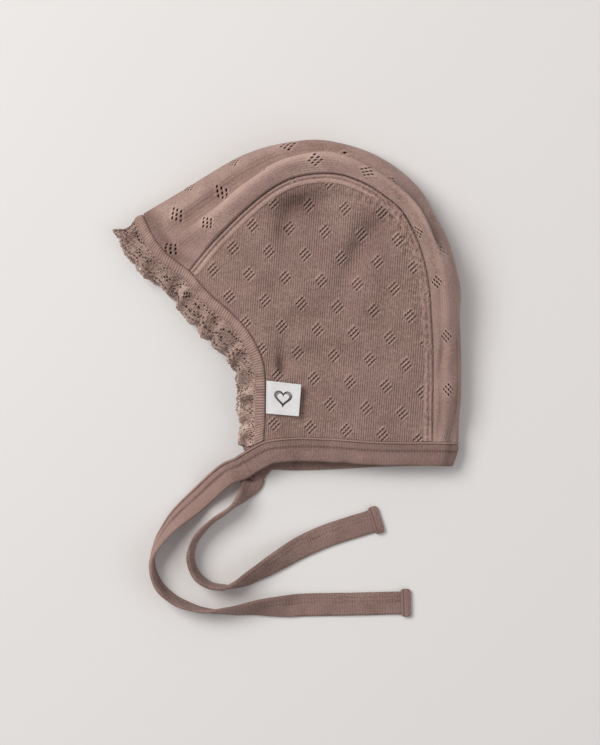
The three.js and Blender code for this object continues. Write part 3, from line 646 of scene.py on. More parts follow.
# Where the plan places x, y lie on a panel, as shares a and b, by stepping from a coarse table.
def panelShares(surface, x, y):
    shares = np.linspace(0, 1, 61)
    a, b = (grid.ravel() for grid in np.meshgrid(shares, shares, indexing="ij"))
    plan = np.stack([x, y, np.zeros(len(x))], axis=1)
    nearest, distance = nearestPlaces(surface(a, b) * [1, 1, 0], plan)
    a, b = a[nearest], b[nearest]
    step = 1e-3
    for _ in range(5):
        here = surface(a, b)
        da = (surface(a + step, b) - here) / step
        db = (surface(a, b + step) - here) / step
        missX, missY = x - here[:, 0], y - here[:, 1]
        area = da[:, 0] * db[:, 1] - da[:, 1] * db[:, 0]
        a = np.clip(a + np.clip((missX * db[:, 1] - missY * db[:, 0]) / area, -0.05, 0.05), -0.06, 1.06)
        b = np.clip(b + np.clip((missY * da[:, 0] - missX * da[:, 1]) / area, -0.05, 0.05), -0.06, 1.06)
    return a, b, distance


# Small gathers where the panel is eased into the seam: share along the seam and height
seamGathers = {
    "rows": [
        (0, 0.08), (0.38, 0.1), (0.45, 0.42), (0.58, 0.42), (0.64, 0.26), (0.74, 0.2), (0.8, 0.08),
        (1, 0.06),
    ],
    "length": 3.4, "reach": 8.5,
}
# Fine folds of the near panel: plan place, half length, half width, turn and height
panelFolds = [
    (-25.5, 54, 14, 5.5, 84, -3), (-35, 46, 14, 4.5, 62, 1), (15, 42, 16, 5.5, 60, -1.9),
    (4, 46, 16, 5, 62, 1), (22, 52, 10, 3.6, 50, -1.2), (-26.4, -17.5, 4.5, 2.4, 84, -3),
    (-26.5, -9, 9, 3.6, 84, -1.8), (-36, -5, 9, 3.6, 80, 1.1), (-18, -6, 10, 4.5, 66, 1.2),
    (-22, 12, 12, 5, 60, 0.9), (31, 40, 11, 3.6, 75, 1.1), (-13, -12, 12, 5, 20, -0.6),
    (12, 5, 20, 7, 70, 0.9), (-46, 24, 12, 4, 60, -1), (10, -24, 24, 8, 0, 0.8),
    (-36, 30, 11, 4, 55, 0.7), (24, 10, 18, 5, 80, -0.9), (38, -8, 26, 3.5, 88, 0.7),
    (-5, 64, 22, 3.4, 4, -1.3), (4, 16, 10, 4, 86, -0.8), (-20, 60.5, 8, 3.6, 20, -2),
    (-8, 30, 9, 3, 62, -0.7), (14, -8, 9, 3, 80, -0.6), (0, -30, 8, 3, 70, -0.7), (28, -26, 9, 3, 84, 0.7),
]
# Painted shade in the hollows, and painted highlight where the strength is below zero: plan place, half
# length, half width, turn and strength
panelShades = [
    (-18, 62.5, 11, 6, 15, 0.66), (-26, 50, 10, 3.6, 84, 0.34), (-26.4, -18.5, 3.6, 2, 84, 0.5),
    (-27, -9, 8, 2.6, 84, 0.16), (20, 48, 14, 7, 60, 0.15), (-30, -10, 9, 2, 84, -0.1),
    (-14, 68, 10, 2.5, 15, 0.2),
]


# Distance from each point to a line of points, and the run along the line there.
def distanceTo(line, points):
    nearest, distance = nearestPlaces(line, points)
    return distance, runLengths(line)[nearest]


panelCloth = {
    "along": -15.5, "up": 37.2, "lean": 0.075, "slope": 0.085, "curve": 1.12e-5,
    "wales": (-52, 64), "rows": (-158, 78), "slant": 0.3, "ribHeight": 0.1, "rimRise": 0.48, "sink": 0.36,
    "apart": 0.25, "dark": 0.78, "ridgeHighlight": 0.42, "holeWide": 0.2, "holeNarrow": 0.09,
}


# The panel's points and the way out of its face, for shares a and b.
def panelSurface(surface, a, b):
    step = 1e-3
    along = surface(np.minimum(a + step, 1), b) - surface(np.maximum(a - step, 0), b)
    upward = surface(a, np.minimum(b + step, 1)) - surface(a, np.maximum(b - step, 0))
    return surface(a, b), unit(np.cross(along, upward))


# A side panel as a grid that follows the knit, trimmed at the panel's edges.
def sidePanel(name, surface, node, facing):
    cloth = panelCloth
    columns = (cloth["wales"][1] - cloth["wales"][0]) * 3
    rows = cloth["rows"][1] - cloth["rows"][0]
    bm, column, row = gridMesh(columns, rows)
    middles = diamondGrid(cloth["wales"], cloth["rows"])
    knitted = openDiamonds(column, row, cloth["wales"][0], cloth["rows"][0], middles, cloth)
    wale, course, relief, paintedShadeTone, holes = knitted
    rise = course * knit["rowRise"]
    across = wale * knit["walePitch"] + rise * cloth["lean"]
    x = cloth["along"] + across
    y = cloth["up"] + rise - cloth["slope"] * across - cloth["curve"] * across**3
    a, b, distance = panelShares(surface, x, y)
    outside = (a < 0) | (a > 1) | (b < 0) | (b > 1) | (distance > 3)
    a, b = np.clip(a, 0, 1), np.clip(b, 0, 1)
    points, normals = panelSurface(surface, a, b)
    if facing > 0:
        x, y = points[:, 0], points[:, 1]
        inner = insideEnds(a, 12) * insideEnds(b, 12)
        folds = foldHeight(panelFolds, x, y) + 0.4 * wrinkles(x, y, 24, 3) + 0.12 * wrinkles(x, y, 8, 4)
        relief = relief + folds * inner
        seamLine = seamCurve(np.linspace(0, 1, 1500))
        reach, run = distanceTo(seamLine, points)
        gathers = softProfile(seamGathers["rows"], run / runLengths(seamLine)[-1])
        gathers = gathers * hump(reach, 0, seamGathers["reach"]) * ease(b * 12)
        pucker = 0.55 * wrinkles(x, y, seamGathers["length"], 5) + 0.45 * wrinkles(x, y, 2.1, 9)
        pucker += 0.25 * np.sin(2 * np.pi * run / 4.3 + np.sin(run / 9))
        relief = relief + gathers * pucker
        # Painted shade in the troughs of the gathers and in the panel's hollows, with a little painted
        # highlight on the gathers' crests.
        paintedShadeTone = paintedShadeTone + np.clip(-pucker * gathers * 1.2, -0.15, 0.5) + foldHeight(panelShades, x, y)
        points = points + normals * relief[:, None]
        points[:, 2] = np.maximum(points[:, 2], 0.05)
    else:
        points[:, 2] = np.maximum(0.35 - relief, 0.02)
    shapeGrid(bm, points, np.stack([wale * knit["walePitch"], rise], axis=1), paintedShadeTone)
    cutFaces(bm, column, row, holes, outside)
    if facing < 0:
        bmesh.ops.reverse_faces(bm, faces=bm.faces)
    return makePiece(bm, name, materials["knit"], [node])


seamCurve = edgeCurve(seamPoints)
nearPanel = sidePanel("near_panel_knit", nearPanelPoint, "side_panel_near", 1)
farPanel = sidePanel("far_panel_knit", farPanelPoint, "side_panel_far", -1)

# The seam of the crown, turned towards the panel and sewn down: a low double rib
seamStrip = {
    "width": 4.9, "steps": 20, "spacing": 0.42, "rough": 0.26,
    "profile": [
        (0, -0.7), (0.35, 0.2), (0.9, 0.7), (1.4, 0.5), (1.95, -0.3), (2.45, 0.5), (3.2, 0.78), (4.1, 0.5),
        (4.9, -0.5),
    ],
    "roughRows": [(0, 0.2), (0.4, 0.25), (0.47, 1.6), (0.6, 1.5), (0.75, 1.2), (1, 0.9)],
}


def crownSeam():
    look = seamStrip
    line = seamCurve(np.linspace(0, 1, 800))
    total = runLengths(line)[-1]
    count = int(total / look["spacing"])
    share = np.linspace(0.001, 0.999, count + 1)
    line = seamCurve(share)
    along = unit(np.gradient(line, axis=0) * [1, 1, 0])
    inward = np.stack([along[:, 1], -along[:, 0], np.zeros(count + 1)], axis=1)
    bm, column, row = gridMesh(look["steps"], count)
    off = column / look["steps"] * look["width"]
    plan = line[row] + inward[row] * off[:, None]
    a, b, _ = panelShares(nearPanelPoint, plan[:, 0], plan[:, 1])
    points, normals = panelSurface(nearPanelPoint, np.clip(a, 0, 1), np.clip(b, 0, 1))
    rough = softProfile(look["roughRows"], share[row]) * look["rough"] * np.sin(np.pi * off / look["width"])
    crumpled = ease((share[row] - 0.46) / 0.06) * (1 - 0.4 * ease((share[row] - 0.72) / 0.1))
    height = softProfile(look["profile"], off) * (1 - 0.5 * crumpled)
    x, y = points[:, 0], points[:, 1]
    lumps = 0.7 * wrinkles(x, y, 2.8, 8) + 0.5 * wrinkles(x, y, 1.6, 10)
    # Painted shade in the strip's grooves and between its lumps, and painted highlight on its highest ribs.
    paintedShadeTone = np.clip(-height * 1.2, 0, 0.9) + np.clip(-lumps * rough * 2, 0, 0.4)
    paintedShadeTone -= np.clip(height - 0.45, 0, 0.3)
    points = points + normals * (height + rough * lumps)[:, None]
    points[:, 2] = np.maximum(points[:, 2], 0.05)
    shapeGrid(bm, points, np.stack([off, share[row] * total], axis=1), paintedShadeTone)
    bmesh.ops.recalc_face_normals(bm, faces=bm.faces)
    return makePiece(bm, "crown_seam_rib", materials["softKnit"])


crownSeamRib = crownSeam()

# Rows of windows are start, rising, end and falling in shares along the gusset. Rows of folds and painted
# shades are the middle, spread and height of each, by the distance past the ridge; a painted shade below
# zero is a painted highlight.
gussetLook = {
    "ribHeight": 0.014, "rimRise": 0.2, "sink": 0.22, "apart": 1, "dark": 0.7, "ridgeHighlight": 0.3,
    "holeWide": 0.3, "holeNarrow": 0.15, "slant": 0.16, "bulge": 1.35, "backRib": 0.07,
    "seamProfile": [(0, -0.5), (0.5, -0.05), (1.4, 0.08), (3, 0)],
    "crisp": (0.39, 0.1, 0.56, 0.08), "crispFolds": [(2, 1.3, -3.4), (5, 3.2, -1.4)],
    "soft": (0, 0.08, 0.36, 0.12), "softFolds": [(0, 3.2, 0.9), (6.8, 3.4, -3.8), (12.5, 4, 1.7)],
    "plumpFolds": [(4.8, 4, 2.8), (-2.6, 1.6, -1)],
    "foot": (0.44, 0.08, 0.575, 0.05), "footShades": [(4.6, 3.6, 0.62), (-0.2, 1.1, -0.4)],
    "flank": (0.04, 0.1, 0.36, 0.12),
}
# Middles of the diamonds on the upper side, as seen from straight above against the floor
gussetDiamonds = [
    (-83, 41.5), (-78.5, 57.5), (-63.5, 54), (-57.5, 69.5), (-72.5, 71.5), (-50.5, 84), (-36, 81.5),
    (-23, 91.7), (-9.7, 86), (4.5, 88.5), (15.9, 79.2), (28.9, 76.3), (42, 49.5), (49, 56.7), (53.2, 40.2),
    (51, 24.7), (61.8, 14), (55.5, -2.8), (55.8, -29.4), (56.2, -53.8),
]
view = {"place": (-0.0175, -0.021, 1.4), "lens": 135.3}  # straight above, 0.5 mm of the floor to a pixel


def seenPlan(points):
    axis, height = np.array(view["place"][:2]) / metre, view["place"][2] / metre
    return axis + (points[..., :2] - axis) * (height / (height - points[..., 2:]))


# Folds of the gusset: d is the distance past its ridge, s the share along it, e the distance from the face
def gussetFolds(d, s, e):
    look = gussetLook
    edge = np.where(d < 0, hump(d, 0, 3), hump(d, 0, 0.9))
    fold = window(s, *look["crisp"]) * (1.3 * edge + humps(look["crispFolds"], d))
    fold += window(s, *look["soft"]) * humps(look["softFolds"], d)
    fold += ease((s - 0.56) / 0.09) * ease((1 - s) * 14) * humps(look["plumpFolds"], d)
    face = hump(e, 5, 4.5) * ease((d + 10) / 8)
    return fold - 2.6 * face + hump(e, 15, 5) * ease((d + 8) / 8)


# Painted shade of the gusset beside the band, in its soft valley and at the foot of its crisp fold, and
# painted highlight at that fold's edge and on its flank.
def gussetShade(d, s, e):
    look = gussetLook
    besideBand = 0.42 * hump(e, 0, 3.6) * ease((d + 12) / 8) + 0.25 * hump(e, 4, 3)
    valley = window(s, *look["soft"]) * hump(d, 5.6, 2.6)
    foot = window(s, *look["foot"]) * humps(look["footShades"], d)
    flank = window(s, *look["flank"]) * hump(d, 1.2, 2.6)
    return besideBand + 0.22 * valley + foot - 0.34 * flank


# Middles of the diamonds in wales and rows: those seen from above, and an even spread on the underside.
def gussetMiddles(surface, upper, wales, rows):
    seen = seenPlan(surface)
    middles = []
    for place in gussetDiamonds:
        miss = np.linalg.norm(seen - np.array(place), axis=-1) + np.where(upper, 0, 1000)
        r, c = np.unravel_index(np.argmin(miss), miss.shape)
        middles.append((int(round(c / 3 - 0.5)), int(r)))
    rim = int(np.argmax(~upper[rows // 2])) // 3
    for w, r in diamondGrid((0, wales), (0, rows)):
        if 6 <= w < wales - rim - 6 and 8 < r < rows - 8:
            middles.append((w + rim, r))
    return middles


# Runs along one axis of a grid of points, from its first row or column.
def gridRuns(points, axis):
    steps = np.linalg.norm(np.diff(points, axis=axis), axis=2)
    return np.insert(np.cumsum(steps, axis=axis), 0, 0, axis=axis)


# The crown gusset, with its wales along its length.
def crownGusset():
    look = gussetLook
    grid = np.linspace(0, 1, 201)
    lengths = np.mean([runLengths(throughPoints(section, grid)) for section in sections], axis=0)
    wales = int(round(lengths[-1] / knit["walePitch"]))
    columns = wales * 3
    middleLine = crownGrid(np.linspace(0, 1, 400), np.array([0.22]))[:, 0]
    rows = int(round(runLengths(middleLine)[-1] / knit["rowRise"]))
    across = np.interp(np.linspace(0, 1, columns + 1) * lengths[-1], lengths, grid)
    surface = crownGrid(evenShares(seamPoints, np.linspace(0, 1, rows + 1)), across)
    normals = gridNormals(surface)
    arcs, edgeRun = gridRuns(surface, 1), gridRuns(surface, 0)
    ridge = np.interp(1 / 7, across, np.arange(columns + 1))
    k, f = int(ridge), ridge % 1
    fromRidge = arcs - (arcs[:, k] * (1 - f) + arcs[:, k + 1] * f)[:, None]
    middles = gussetMiddles(surface, normals[..., 2] > 0.02, wales, rows)
    bm, column, row = gridMesh(columns, rows)
    wale, course, relief, paintedShadeTone, holes = openDiamonds(column, row, 0, 0, middles, look)
    i, j = np.clip(course, 0, rows), np.clip(wale * 3, 0, columns)
    i0, j0 = np.clip(i.astype(int), 0, rows - 1), np.clip(j.astype(int), 0, columns - 1)

    def pick(table):
        fi, fj = (part.reshape((-1,) + (1,) * (table.ndim - 2)) for part in (i - i0, j - j0))
        low = table[i0, j0] * (1 - fj) + table[i0, j0 + 1] * fj
        high = table[i0 + 1, j0] * (1 - fj) + table[i0 + 1, j0 + 1] * fj
        return low * (1 - fi) + high * fi

    points, normal = pick(surface), unit(pick(normals))
    reach, past, share, run = pick(arcs), pick(fromRidge), course / rows, pick(edgeRun)
    inner = ease(reach / 4) * ease(share * 40) * ease((lengths[-1] * 0.62 - reach) / 10)
    bulge = look["bulge"] * window(reach, 0, 1.8, 2, 9) * ease(share / 0.1) * ease((1 - share) * 20)
    folds = gussetFolds(past, share, run)
    folds += 0.16 * wrinkles(run, reach, 13, 6) + 0.3 * wrinkles(run, reach, 30, 7)
    seamLow = softProfile(look["seamProfile"], np.clip(reach, 0, 3))
    backRibs = ease((share - 0.52) / 0.16) * np.cos(2 * np.pi * wale)
    relief = relief + seamLow + bulge + folds * inner + look["backRib"] * backRibs
    # Painted shade in the groove at the seam and in the gusset's folds, and on its back ribs painted
    # highlight on the crests with painted shade between them.
    paintedShadeTone = paintedShadeTone + np.clip(-seamLow, 0, 0.45) + gussetShade(past, share, run) - 0.13 * backRibs
    points = points + normal * relief[:, None]
    points[:, 2] = np.maximum(points[:, 2], 0.05)
    shapeGrid(bm, points, np.stack([wale * knit["walePitch"], course * knit["rowRise"]], axis=1), paintedShadeTone)
    cutFaces(bm, column, row, holes, np.zeros(len(column), bool))
    bmesh.ops.recalc_face_normals(bm, faces=bm.faces)
    return makePiece(bm, "crown_gusset_knit", materials["softKnit"], ["crown_gusset"])


gusset = crownGusset()


# Distances across a ribbon from 0 to its width, closer together at its rounded edges.
def ribbonAcross(steps):
    q = np.linspace(0, 1, steps + 1)
    return q - 0.09 * np.sin(2 * np.pi * q)


# Closes a tube of cloth at both ends. The ends are flat, so that the cloth beside them isn't shaded round.
def closeEnds(bm):
    bmesh.ops.remove_doubles(bm, verts=bm.verts, dist=1e-7)
    ends = bmesh.ops.holes_fill(bm, edges=[edge for edge in bm.edges if edge.is_boundary], sides=0)
    for face in ends["faces"]:
        face.smooth = False
    bmesh.ops.recalc_face_normals(bm, faces=bm.faces)


def noRelief(along, across):
    return np.zeros(np.shape(along))


# A closed ribbon along frames, with a width and wall at each station. Each face takes a relief and a painted
# shade by run and distance.
def ribbon(name, frames, width, wall, out, relief, under, material, node, steps, shade):
    share = ribbonAcross(steps)
    loop = np.concatenate([share, share[-2::-1]])
    upper = np.concatenate([np.ones(steps + 1), -np.ones(steps)])
    stations = len(frames["run"])
    width, wall, out = (np.broadcast_to(value, stations) for value in (width, wall, out))
    bm, column, row = gridMesh(len(loop) - 1, stations - 1)
    along, across = frames["run"][row], loop[column] * width[row]
    edge = np.minimum(across, width[row] - across) / (wall[row] * 0.6)
    side, full = upper[column], np.sqrt(np.clip(1 - (1 - np.clip(edge, 0, 1)) ** 2, 0, 1))
    change = np.where(side > 0, relief(along, across), under(along, across))
    # Painted shade in low places of the relief and painted highlight on its highest crests.
    paintedShadeTone = np.clip(-change / 0.7, 0, 0.55) - np.clip(change - 0.28, 0, 0.3) + shade(along, across)
    height = out[row] + (side * full - 1) * wall[row] / 2 + side * change * np.minimum(full * 1.5, 1)
    points = frames["point"][row] + frames["off"][row] * across[:, None]
    points += frames["normal"][row] * height[:, None]
    points[:, 2] = np.maximum(points[:, 2], 0.02)
    shapeGrid(bm, points, np.stack([along, across], axis=1), paintedShadeTone)
    closeEnds(bm)
    return makePiece(bm, name, materials[material], [node])


bandLook = {
    "ribPitch": 1.3, "ribHeight": 0.28, "grooveShade": 0.42, "spacing": 0.36, "creaseAt": 0.35,
    "creaseDepth": 0.5,
}


def bandRibs(along, across):
    slanted = along + (0.04 + 0.24 * ease((along - 40) / 30)) * across + 0.3 * np.sin(along / 7)
    inside = ease(across / 1.1) * ease((bonnet["bandWidth"] - across) / 1.2)
    return np.cos(2 * np.pi * slanted / bandLook["ribPitch"]) * inside


# Painted shade in the grooves between the band's ribs and painted highlight on their crests, with some
# uneven tone.
def bandShade(along, across):
    uneven = 0.06 * wrinkles(along, across, 6, 13)
    return bandLook["grooveShade"] * (0.4 - 0.6 * bandRibs(along, across)) + uneven


def bandRelief(along, across):
    ribs = bandLook["ribHeight"] * bandRibs(along, across)
    crease = bandLook["creaseDepth"] * hump(across, bandLook["creaseAt"], 0.3)
    swell = 0.3 * np.sin(np.pi * np.clip(across / bonnet["bandWidth"], 0, 1))
    return ribs - crease + swell + 0.12 * wrinkles(along, across, 7, 11)


bandFrames = fineFrames(faceFrames, bonnet["bandWidth"] / 2, bandLook["spacing"], bonnet["seamGap"])
bandOut = bonnet["proud"] * clearOfSurface(bandFrames["point"][:, 2])
bandOut = bandOut - 0.7 * np.clip(1 - np.abs(bandFrames["normal"][:, 2]) * 1.6, 0, 1)
frontBand = ribbon(
    "front_band_rib", bandFrames, bonnet["bandWidth"], bonnet["bandWall"], bandOut, bandRelief,
    noRelief, "bandRib", "front_band", 14, bandShade,
)

bindingLook = {
    "spacing": 0.42, "ribPitch": 1.25, "drawIn": 2,
    "profile": [
        (0, -0.1), (0.35, 0.45), (0.8, 0.5), (1.35, -0.36), (1.9, 0.1), (4.1, 0.22), (4.65, -0.36),
        (5.0, -0.3), (5.6, 0.18), (8.5, 0.25), (11.2, 0), (12.2, -0.25),
    ],
    "stitchAt": 4.8, "stitchPitch": 1.55, "stitchSize": (0.95, 0.2),
}


# Painted shade in the grooves between the binding's ribs, stronger towards the nape.
def bindingShade(along, across):
    groove = 0.5 - 0.5 * np.cos(2 * np.pi * along / bindingLook["ribPitch"])
    atNape = 0.22 * ease((along - 110) / 40) * (1 - 0.6 * ease((across - 6) / 4))
    return groove * (0.3 - 0.18 * ease((across - 4.5) / 3) + atNape) * ease((across - 1.4) / 0.6)


def bindingRelief(along, across):
    strength = 0.1 - 0.07 * ease((across - 4) / 2) + 0.08 * ease((along - 120) / 40)
    ribs = strength * np.cos(2 * np.pi * along / bindingLook["ribPitch"]) * ease((across - 1.4) / 0.6)
    wave = 0.14 * wrinkles(along, across * 0.5, 11, 12) * ease((across - 5) / 4)
    return softProfile(bindingLook["profile"], across) + ribs + wave


bindingFrames = fineFrames(neckFrames, bonnet["bindingWidth"] / 2, bindingLook["spacing"], 0)
bindingOut = bonnet["proud"] * clearOfSurface(bindingFrames["point"][:, 2])
neckBinding = ribbon(
    "neck_binding_rib", bindingFrames, bonnet["bindingWidth"], bonnet["bindingWall"], bindingOut,
    bindingRelief, noRelief, "ribbed", "neck_binding", 40, bindingShade,
)
for vert in neckBinding.data.vertices:  # its lower edge draws in where it goes round the nape
    x, y = vert.co.x / metre, vert.co.y / metre
    vert.co.x -= bindingLook["drawIn"] * metre * float(ease((-58.5 - y) / 9) * ease((x - 51) / 9))

tieLook = {
    "width": 11.4, "wall": 1.6, "steps": 400, "endLength": 5, "endWidth": 14, "endWall": 2.6,
    "nearLength": 207, "farLength": 168, "joinLength": 14, "endRound": 3, "ribPitch": 1.25,
    "nearSewn": (112, 205), "nearStitches": (6.9, 8.5), "farSewn": (60, 166), "farStitches": (2.9, 4.4),
    "upperProfile": [
        (0, -0.05), (0.35, 0.4), (0.8, 0.44), (1.4, -0.34), (2, 0.15), (3.6, 0.12), (4.4, -0.38),
        (4.8, -0.32), (5.6, 0.14), (8.5, 0.22), (10.6, 0.05), (12.2, -0.1),
    ],
    "flatProfile": [
        (0, -0.1), (1, 0.14), (5.6, 0.12), (6.9, -0.14), (7.3, 0.12), (8, 0.16), (8.5, -0.16), (9, 0.14),
        (10.4, 0.1), (11.4, -0.1),
    ],
    "farProfile": [
        (0, -0.1), (0.9, 0.14), (2.4, 0.1), (2.9, -0.12), (3.3, 0.16), (3.9, 0.2), (4.4, -0.18), (5, 0.12),
        (9.6, 0.16), (11.4, -0.1),
    ],
}
nearTieRows = [
    (-0.048, -0.023, 0.036, 4), (-0.116, -0.084, 0.008, 12), (-0.179, -0.143, 0, 52),
    (-0.214, -0.194, 0, 76), (-0.228, -0.235, 0, 92), (-0.218, -0.281, 0, 102),
    (-0.193, -0.313, 0, 104), (-0.154, -0.337, 0, 102), (-0.099, -0.352, 0, 90),
    (-0.037, -0.352, 0, 70), (0.026, -0.345, 0, 48), (0.084, -0.343, 0, 20),
    (0.142, -0.34, 0, 0), (0.26, -0.338, 0, 0), (0.373, -0.335, 0, 0),
]
farTieRows = [
    (-0.007, -0.027, 0, -12), (-0.03, -0.068, 0, -56), (-0.075, -0.112, 0, -86),
    (-0.134, -0.155, 0, -84), (-0.17, -0.193, 0, -80), (-0.189, -0.236, 0, -78),
    (-0.189, -0.275, 0, -76), (-0.17, -0.315, 0, -76), (-0.134, -0.339, 0, -80),
    (-0.092, -0.345, 0, -88), (-0.06, -0.339, 0, -104), (-0.025, -0.322, 0, -122),
    (0.053, -0.276, 0, -146), (0.133, -0.229, 0, -168), (0.212, -0.194, 0, -180),
    (0.346, -0.151, 0, -180),
]


# Middle, way across and way out of the face along a tie that follows its route.
def tieFrames(end, wayOut, rows, length):
    point, off, normal = (neckFrames[key][end] for key in ("point", "off", "normal"))
    root = point + off * bonnet["bindingWidth"] / 2
    root = root + normal * (bonnet["proud"] * clearOfSurface(point[2]) - bonnet["bindingWall"] / 2)
    start = root + wayOut * 0.02
    steps = np.array([row[:3] for row in rows]) * length + root * [1, 1, 0]
    plan = np.concatenate([[start, start + wayOut * tieLook["width"] / 3], steps])
    rolls = np.array([(k, roll, 0) for k, roll in enumerate([0, 0] + [row[3] for row in rows])], float)
    t = evenShares(plan, np.linspace(0, 1, tieLook["steps"] + 1))
    middle = throughPoints(plan, t)
    along = unit(throughPoints(plan, np.minimum(t + 1e-4, 1)) - throughPoints(plan, np.maximum(t - 1e-4, 0)))
    roll = np.radians(throughPoints(rolls, t)[:, 1])[:, None]
    level = unit(np.stack([-along[:, 1], along[:, 0], np.zeros(len(t))], axis=1))
    across = level * np.cos(roll) + np.array([0, 0, 1]) * np.sin(roll)
    rootShare = (1 - ease(t * (len(plan) - 1) / 2))[:, None]
    rootAcross = off * np.where(level @ off < 0, -1, 1)[:, None]
    across = unit(across * (1 - rootShare) + rootAcross * rootShare)
    face = unit(np.cross(along, across))
    across = unit(np.cross(face, along))
    rest = tieLook["width"] / 2 * np.abs(across[:, 2]) + tieLook["wall"] / 2 * np.abs(face[:, 2])
    middle[:, 2] = np.maximum(middle[:, 2], rest)
    return {"point": middle - across * tieLook["width"] / 2, "off": across, "normal": face, "along": along,
            "run": np.linspace(0, length, len(t))}


def tieRibs(along, across):
    ribs = np.cos(2 * np.pi * along / tieLook["ribPitch"])
    return 0.035 * ribs + 0.1 * wrinkles(along, across, 9, 14)


def nearTieRelief(along, across):
    upperPart = softProfile(tieLook["upperProfile"], np.clip(across, 0, 12.2))
    flatPart = softProfile(tieLook["flatProfile"], np.clip(across, 0, 11.4))
    return upperPart + (flatPart - upperPart) * ease((along - 105) / 20) + tieRibs(along, across)


def farTieRelief(along, across):
    return softProfile(tieLook["farProfile"], np.clip(across, 0, 11.4)) + tieRibs(along, across)


# The tie starts as wide and thick as the binding that it goes on from.
def tiePiece(name, frames, relief, node, shade):
    join = ease(frames["run"] / tieLook["joinLength"])
    width = bonnet["bindingWidth"] + (tieLook["width"] - bonnet["bindingWidth"]) * join
    wall = bonnet["bindingWall"] + (tieLook["wall"] - bonnet["bindingWall"]) * join
    frames = dict(frames, point=frames["point"] - frames["off"] * ((width - tieLook["width"]) / 2)[:, None])
    return ribbon(name, frames, width, wall, wall / 2, relief, relief, "ribbed", node, 40, shade)


# Painted light on the near tie where it stands up beside the binding and faces the lamp, and painted shade
# where it lies flat towards its far end.
def nearTieShade(along, across):
    return -0.22 * ease((along - 5) / 14) * (1 - ease((along - 60) / 30)) + 0.08 * ease((along - 95) / 25)


def farTieShade(along, across):
    return 0.08 * ease((along - 60) / 25) + 0.05 * wrinkles(along, across, 16, 17)


nearTieFrames = tieFrames(0, -neckFrames["along"][0], nearTieRows, tieLook["nearLength"])
farTieFrames = tieFrames(-1, neckFrames["along"][-1], farTieRows, tieLook["farLength"])
nearTie = tiePiece("near_tie_strap", nearTieFrames, nearTieRelief, "tie_near", nearTieShade)
farTie = tiePiece("far_tie_strap", farTieFrames, farTieRelief, "tie_far", farTieShade)


# A power of a sine or cosine that keeps its sign, for a rounded box.
def squared(wave, power):
    return np.sign(wave) * np.abs(wave) ** power


# The end of a tie, folded over and sewn down: a short thick cuff with rounded ends.
def tieEnd(name, frames, node):
    last = {key: frames[key][-1] for key in ("point", "off", "normal", "along")}
    middle = last["point"] + last["off"] * tieLook["width"] / 2
    rise = math.copysign((tieLook["endWall"] - tieLook["wall"]) / 2, last["normal"][2])
    columns, rows = 48, 18
    bm, column, row = gridMesh(columns, rows)
    angle = column / columns * 2 * np.pi
    way = row / rows
    reach = way * tieLook["endLength"]
    taper = np.sqrt(np.clip(1 - np.abs(2 * way - 1) ** tieLook["endRound"], 0.08, 1))
    wide = squared(np.cos(angle), 0.55) * tieLook["endWidth"] / 2 * (0.8 + 0.2 * taper)
    deep = squared(np.sin(angle), 0.5) * tieLook["endWall"] / 2 * taper
    groove = humps([(0.28, 0.07, 0.3), (0.72, 0.05, 0.12)], way)
    deep *= 1 - groove + 0.06 * wrinkles(wide, reach, 3, 15)
    points = middle + last["normal"] * rise + last["along"] * (reach - 0.2)[:, None]
    points = points + last["off"] * wide[:, None] + last["normal"] * deep[:, None]
    points[:, 2] = np.maximum(points[:, 2], 0.02)
    # Painted shade in the grooves where the cuff is sewn down.
    shapeGrid(bm, points, np.stack([reach, wide], axis=1), groove * 1.6)
    closeEnds(bm)
    return makePiece(bm, name, materials["ribbed"], [node])


nearTieEnd = tieEnd("near_tie_fold", nearTieFrames, "tie_end_near")
farTieEnd = tieEnd("far_tie_fold", farTieFrames, "tie_end_far")
print("band, binding and ties ready")

lace = {
    "width": 10.5, "droop": 1.3, "slope": 0.4, "pitch": 13, "depth": 2.4, "cell": 0.42, "rows": 26,
    "wall": 0.4, "gather": 2.6, "perScallop": 30, "hollowed": 2.5, "lean": 0.9, "leanEvery": 10.7,
    "picot": 0.75, "picotEvery": 1.7, "fluteEvery": 8.3, "lump": 0.24, "lumpEvery": 1.7,
    "spread": [(0, 0.78), (0.24, 0.92), (0.5, 1.25), (0.72, 1), (1, 1.1)],
}


# Whether a cell of the lace is open, by its place in the scallop and its row off the band. The net is
# open between solid leaves, and rough lets some of its holes run together or close.
def laceOpen(cell, row, rough):
    s = (cell % lace["perScallop"]) / lace["perScallop"]
    d = row / lace["rows"]
    if row == 2:
        return cell % 5 in (0, 1) and rough > -0.6
    if 4 <= row <= 14:
        leaf = ((s - 0.5) / 0.17) ** 2 + ((d - 0.42) / 0.16) ** 2
        side = (((s + 0.5) % 1 - 0.5) / 0.13) ** 2 + ((d - 0.3) / 0.13) ** 2
        if leaf < 1 or side < 1:
            return False
        shift = (row // 3) % 2
        return row % 3 != 0 and (cell + shift * 2) % 4 in (0, 1) and rough > 0
    if row in (16, 17):
        return (cell + row // 2) % 5 in (0, 1, 2) and rough > 0
    if row in (21, 22):
        return cell % 4 in (0, 1, 2) and rough > -0.9
    return False


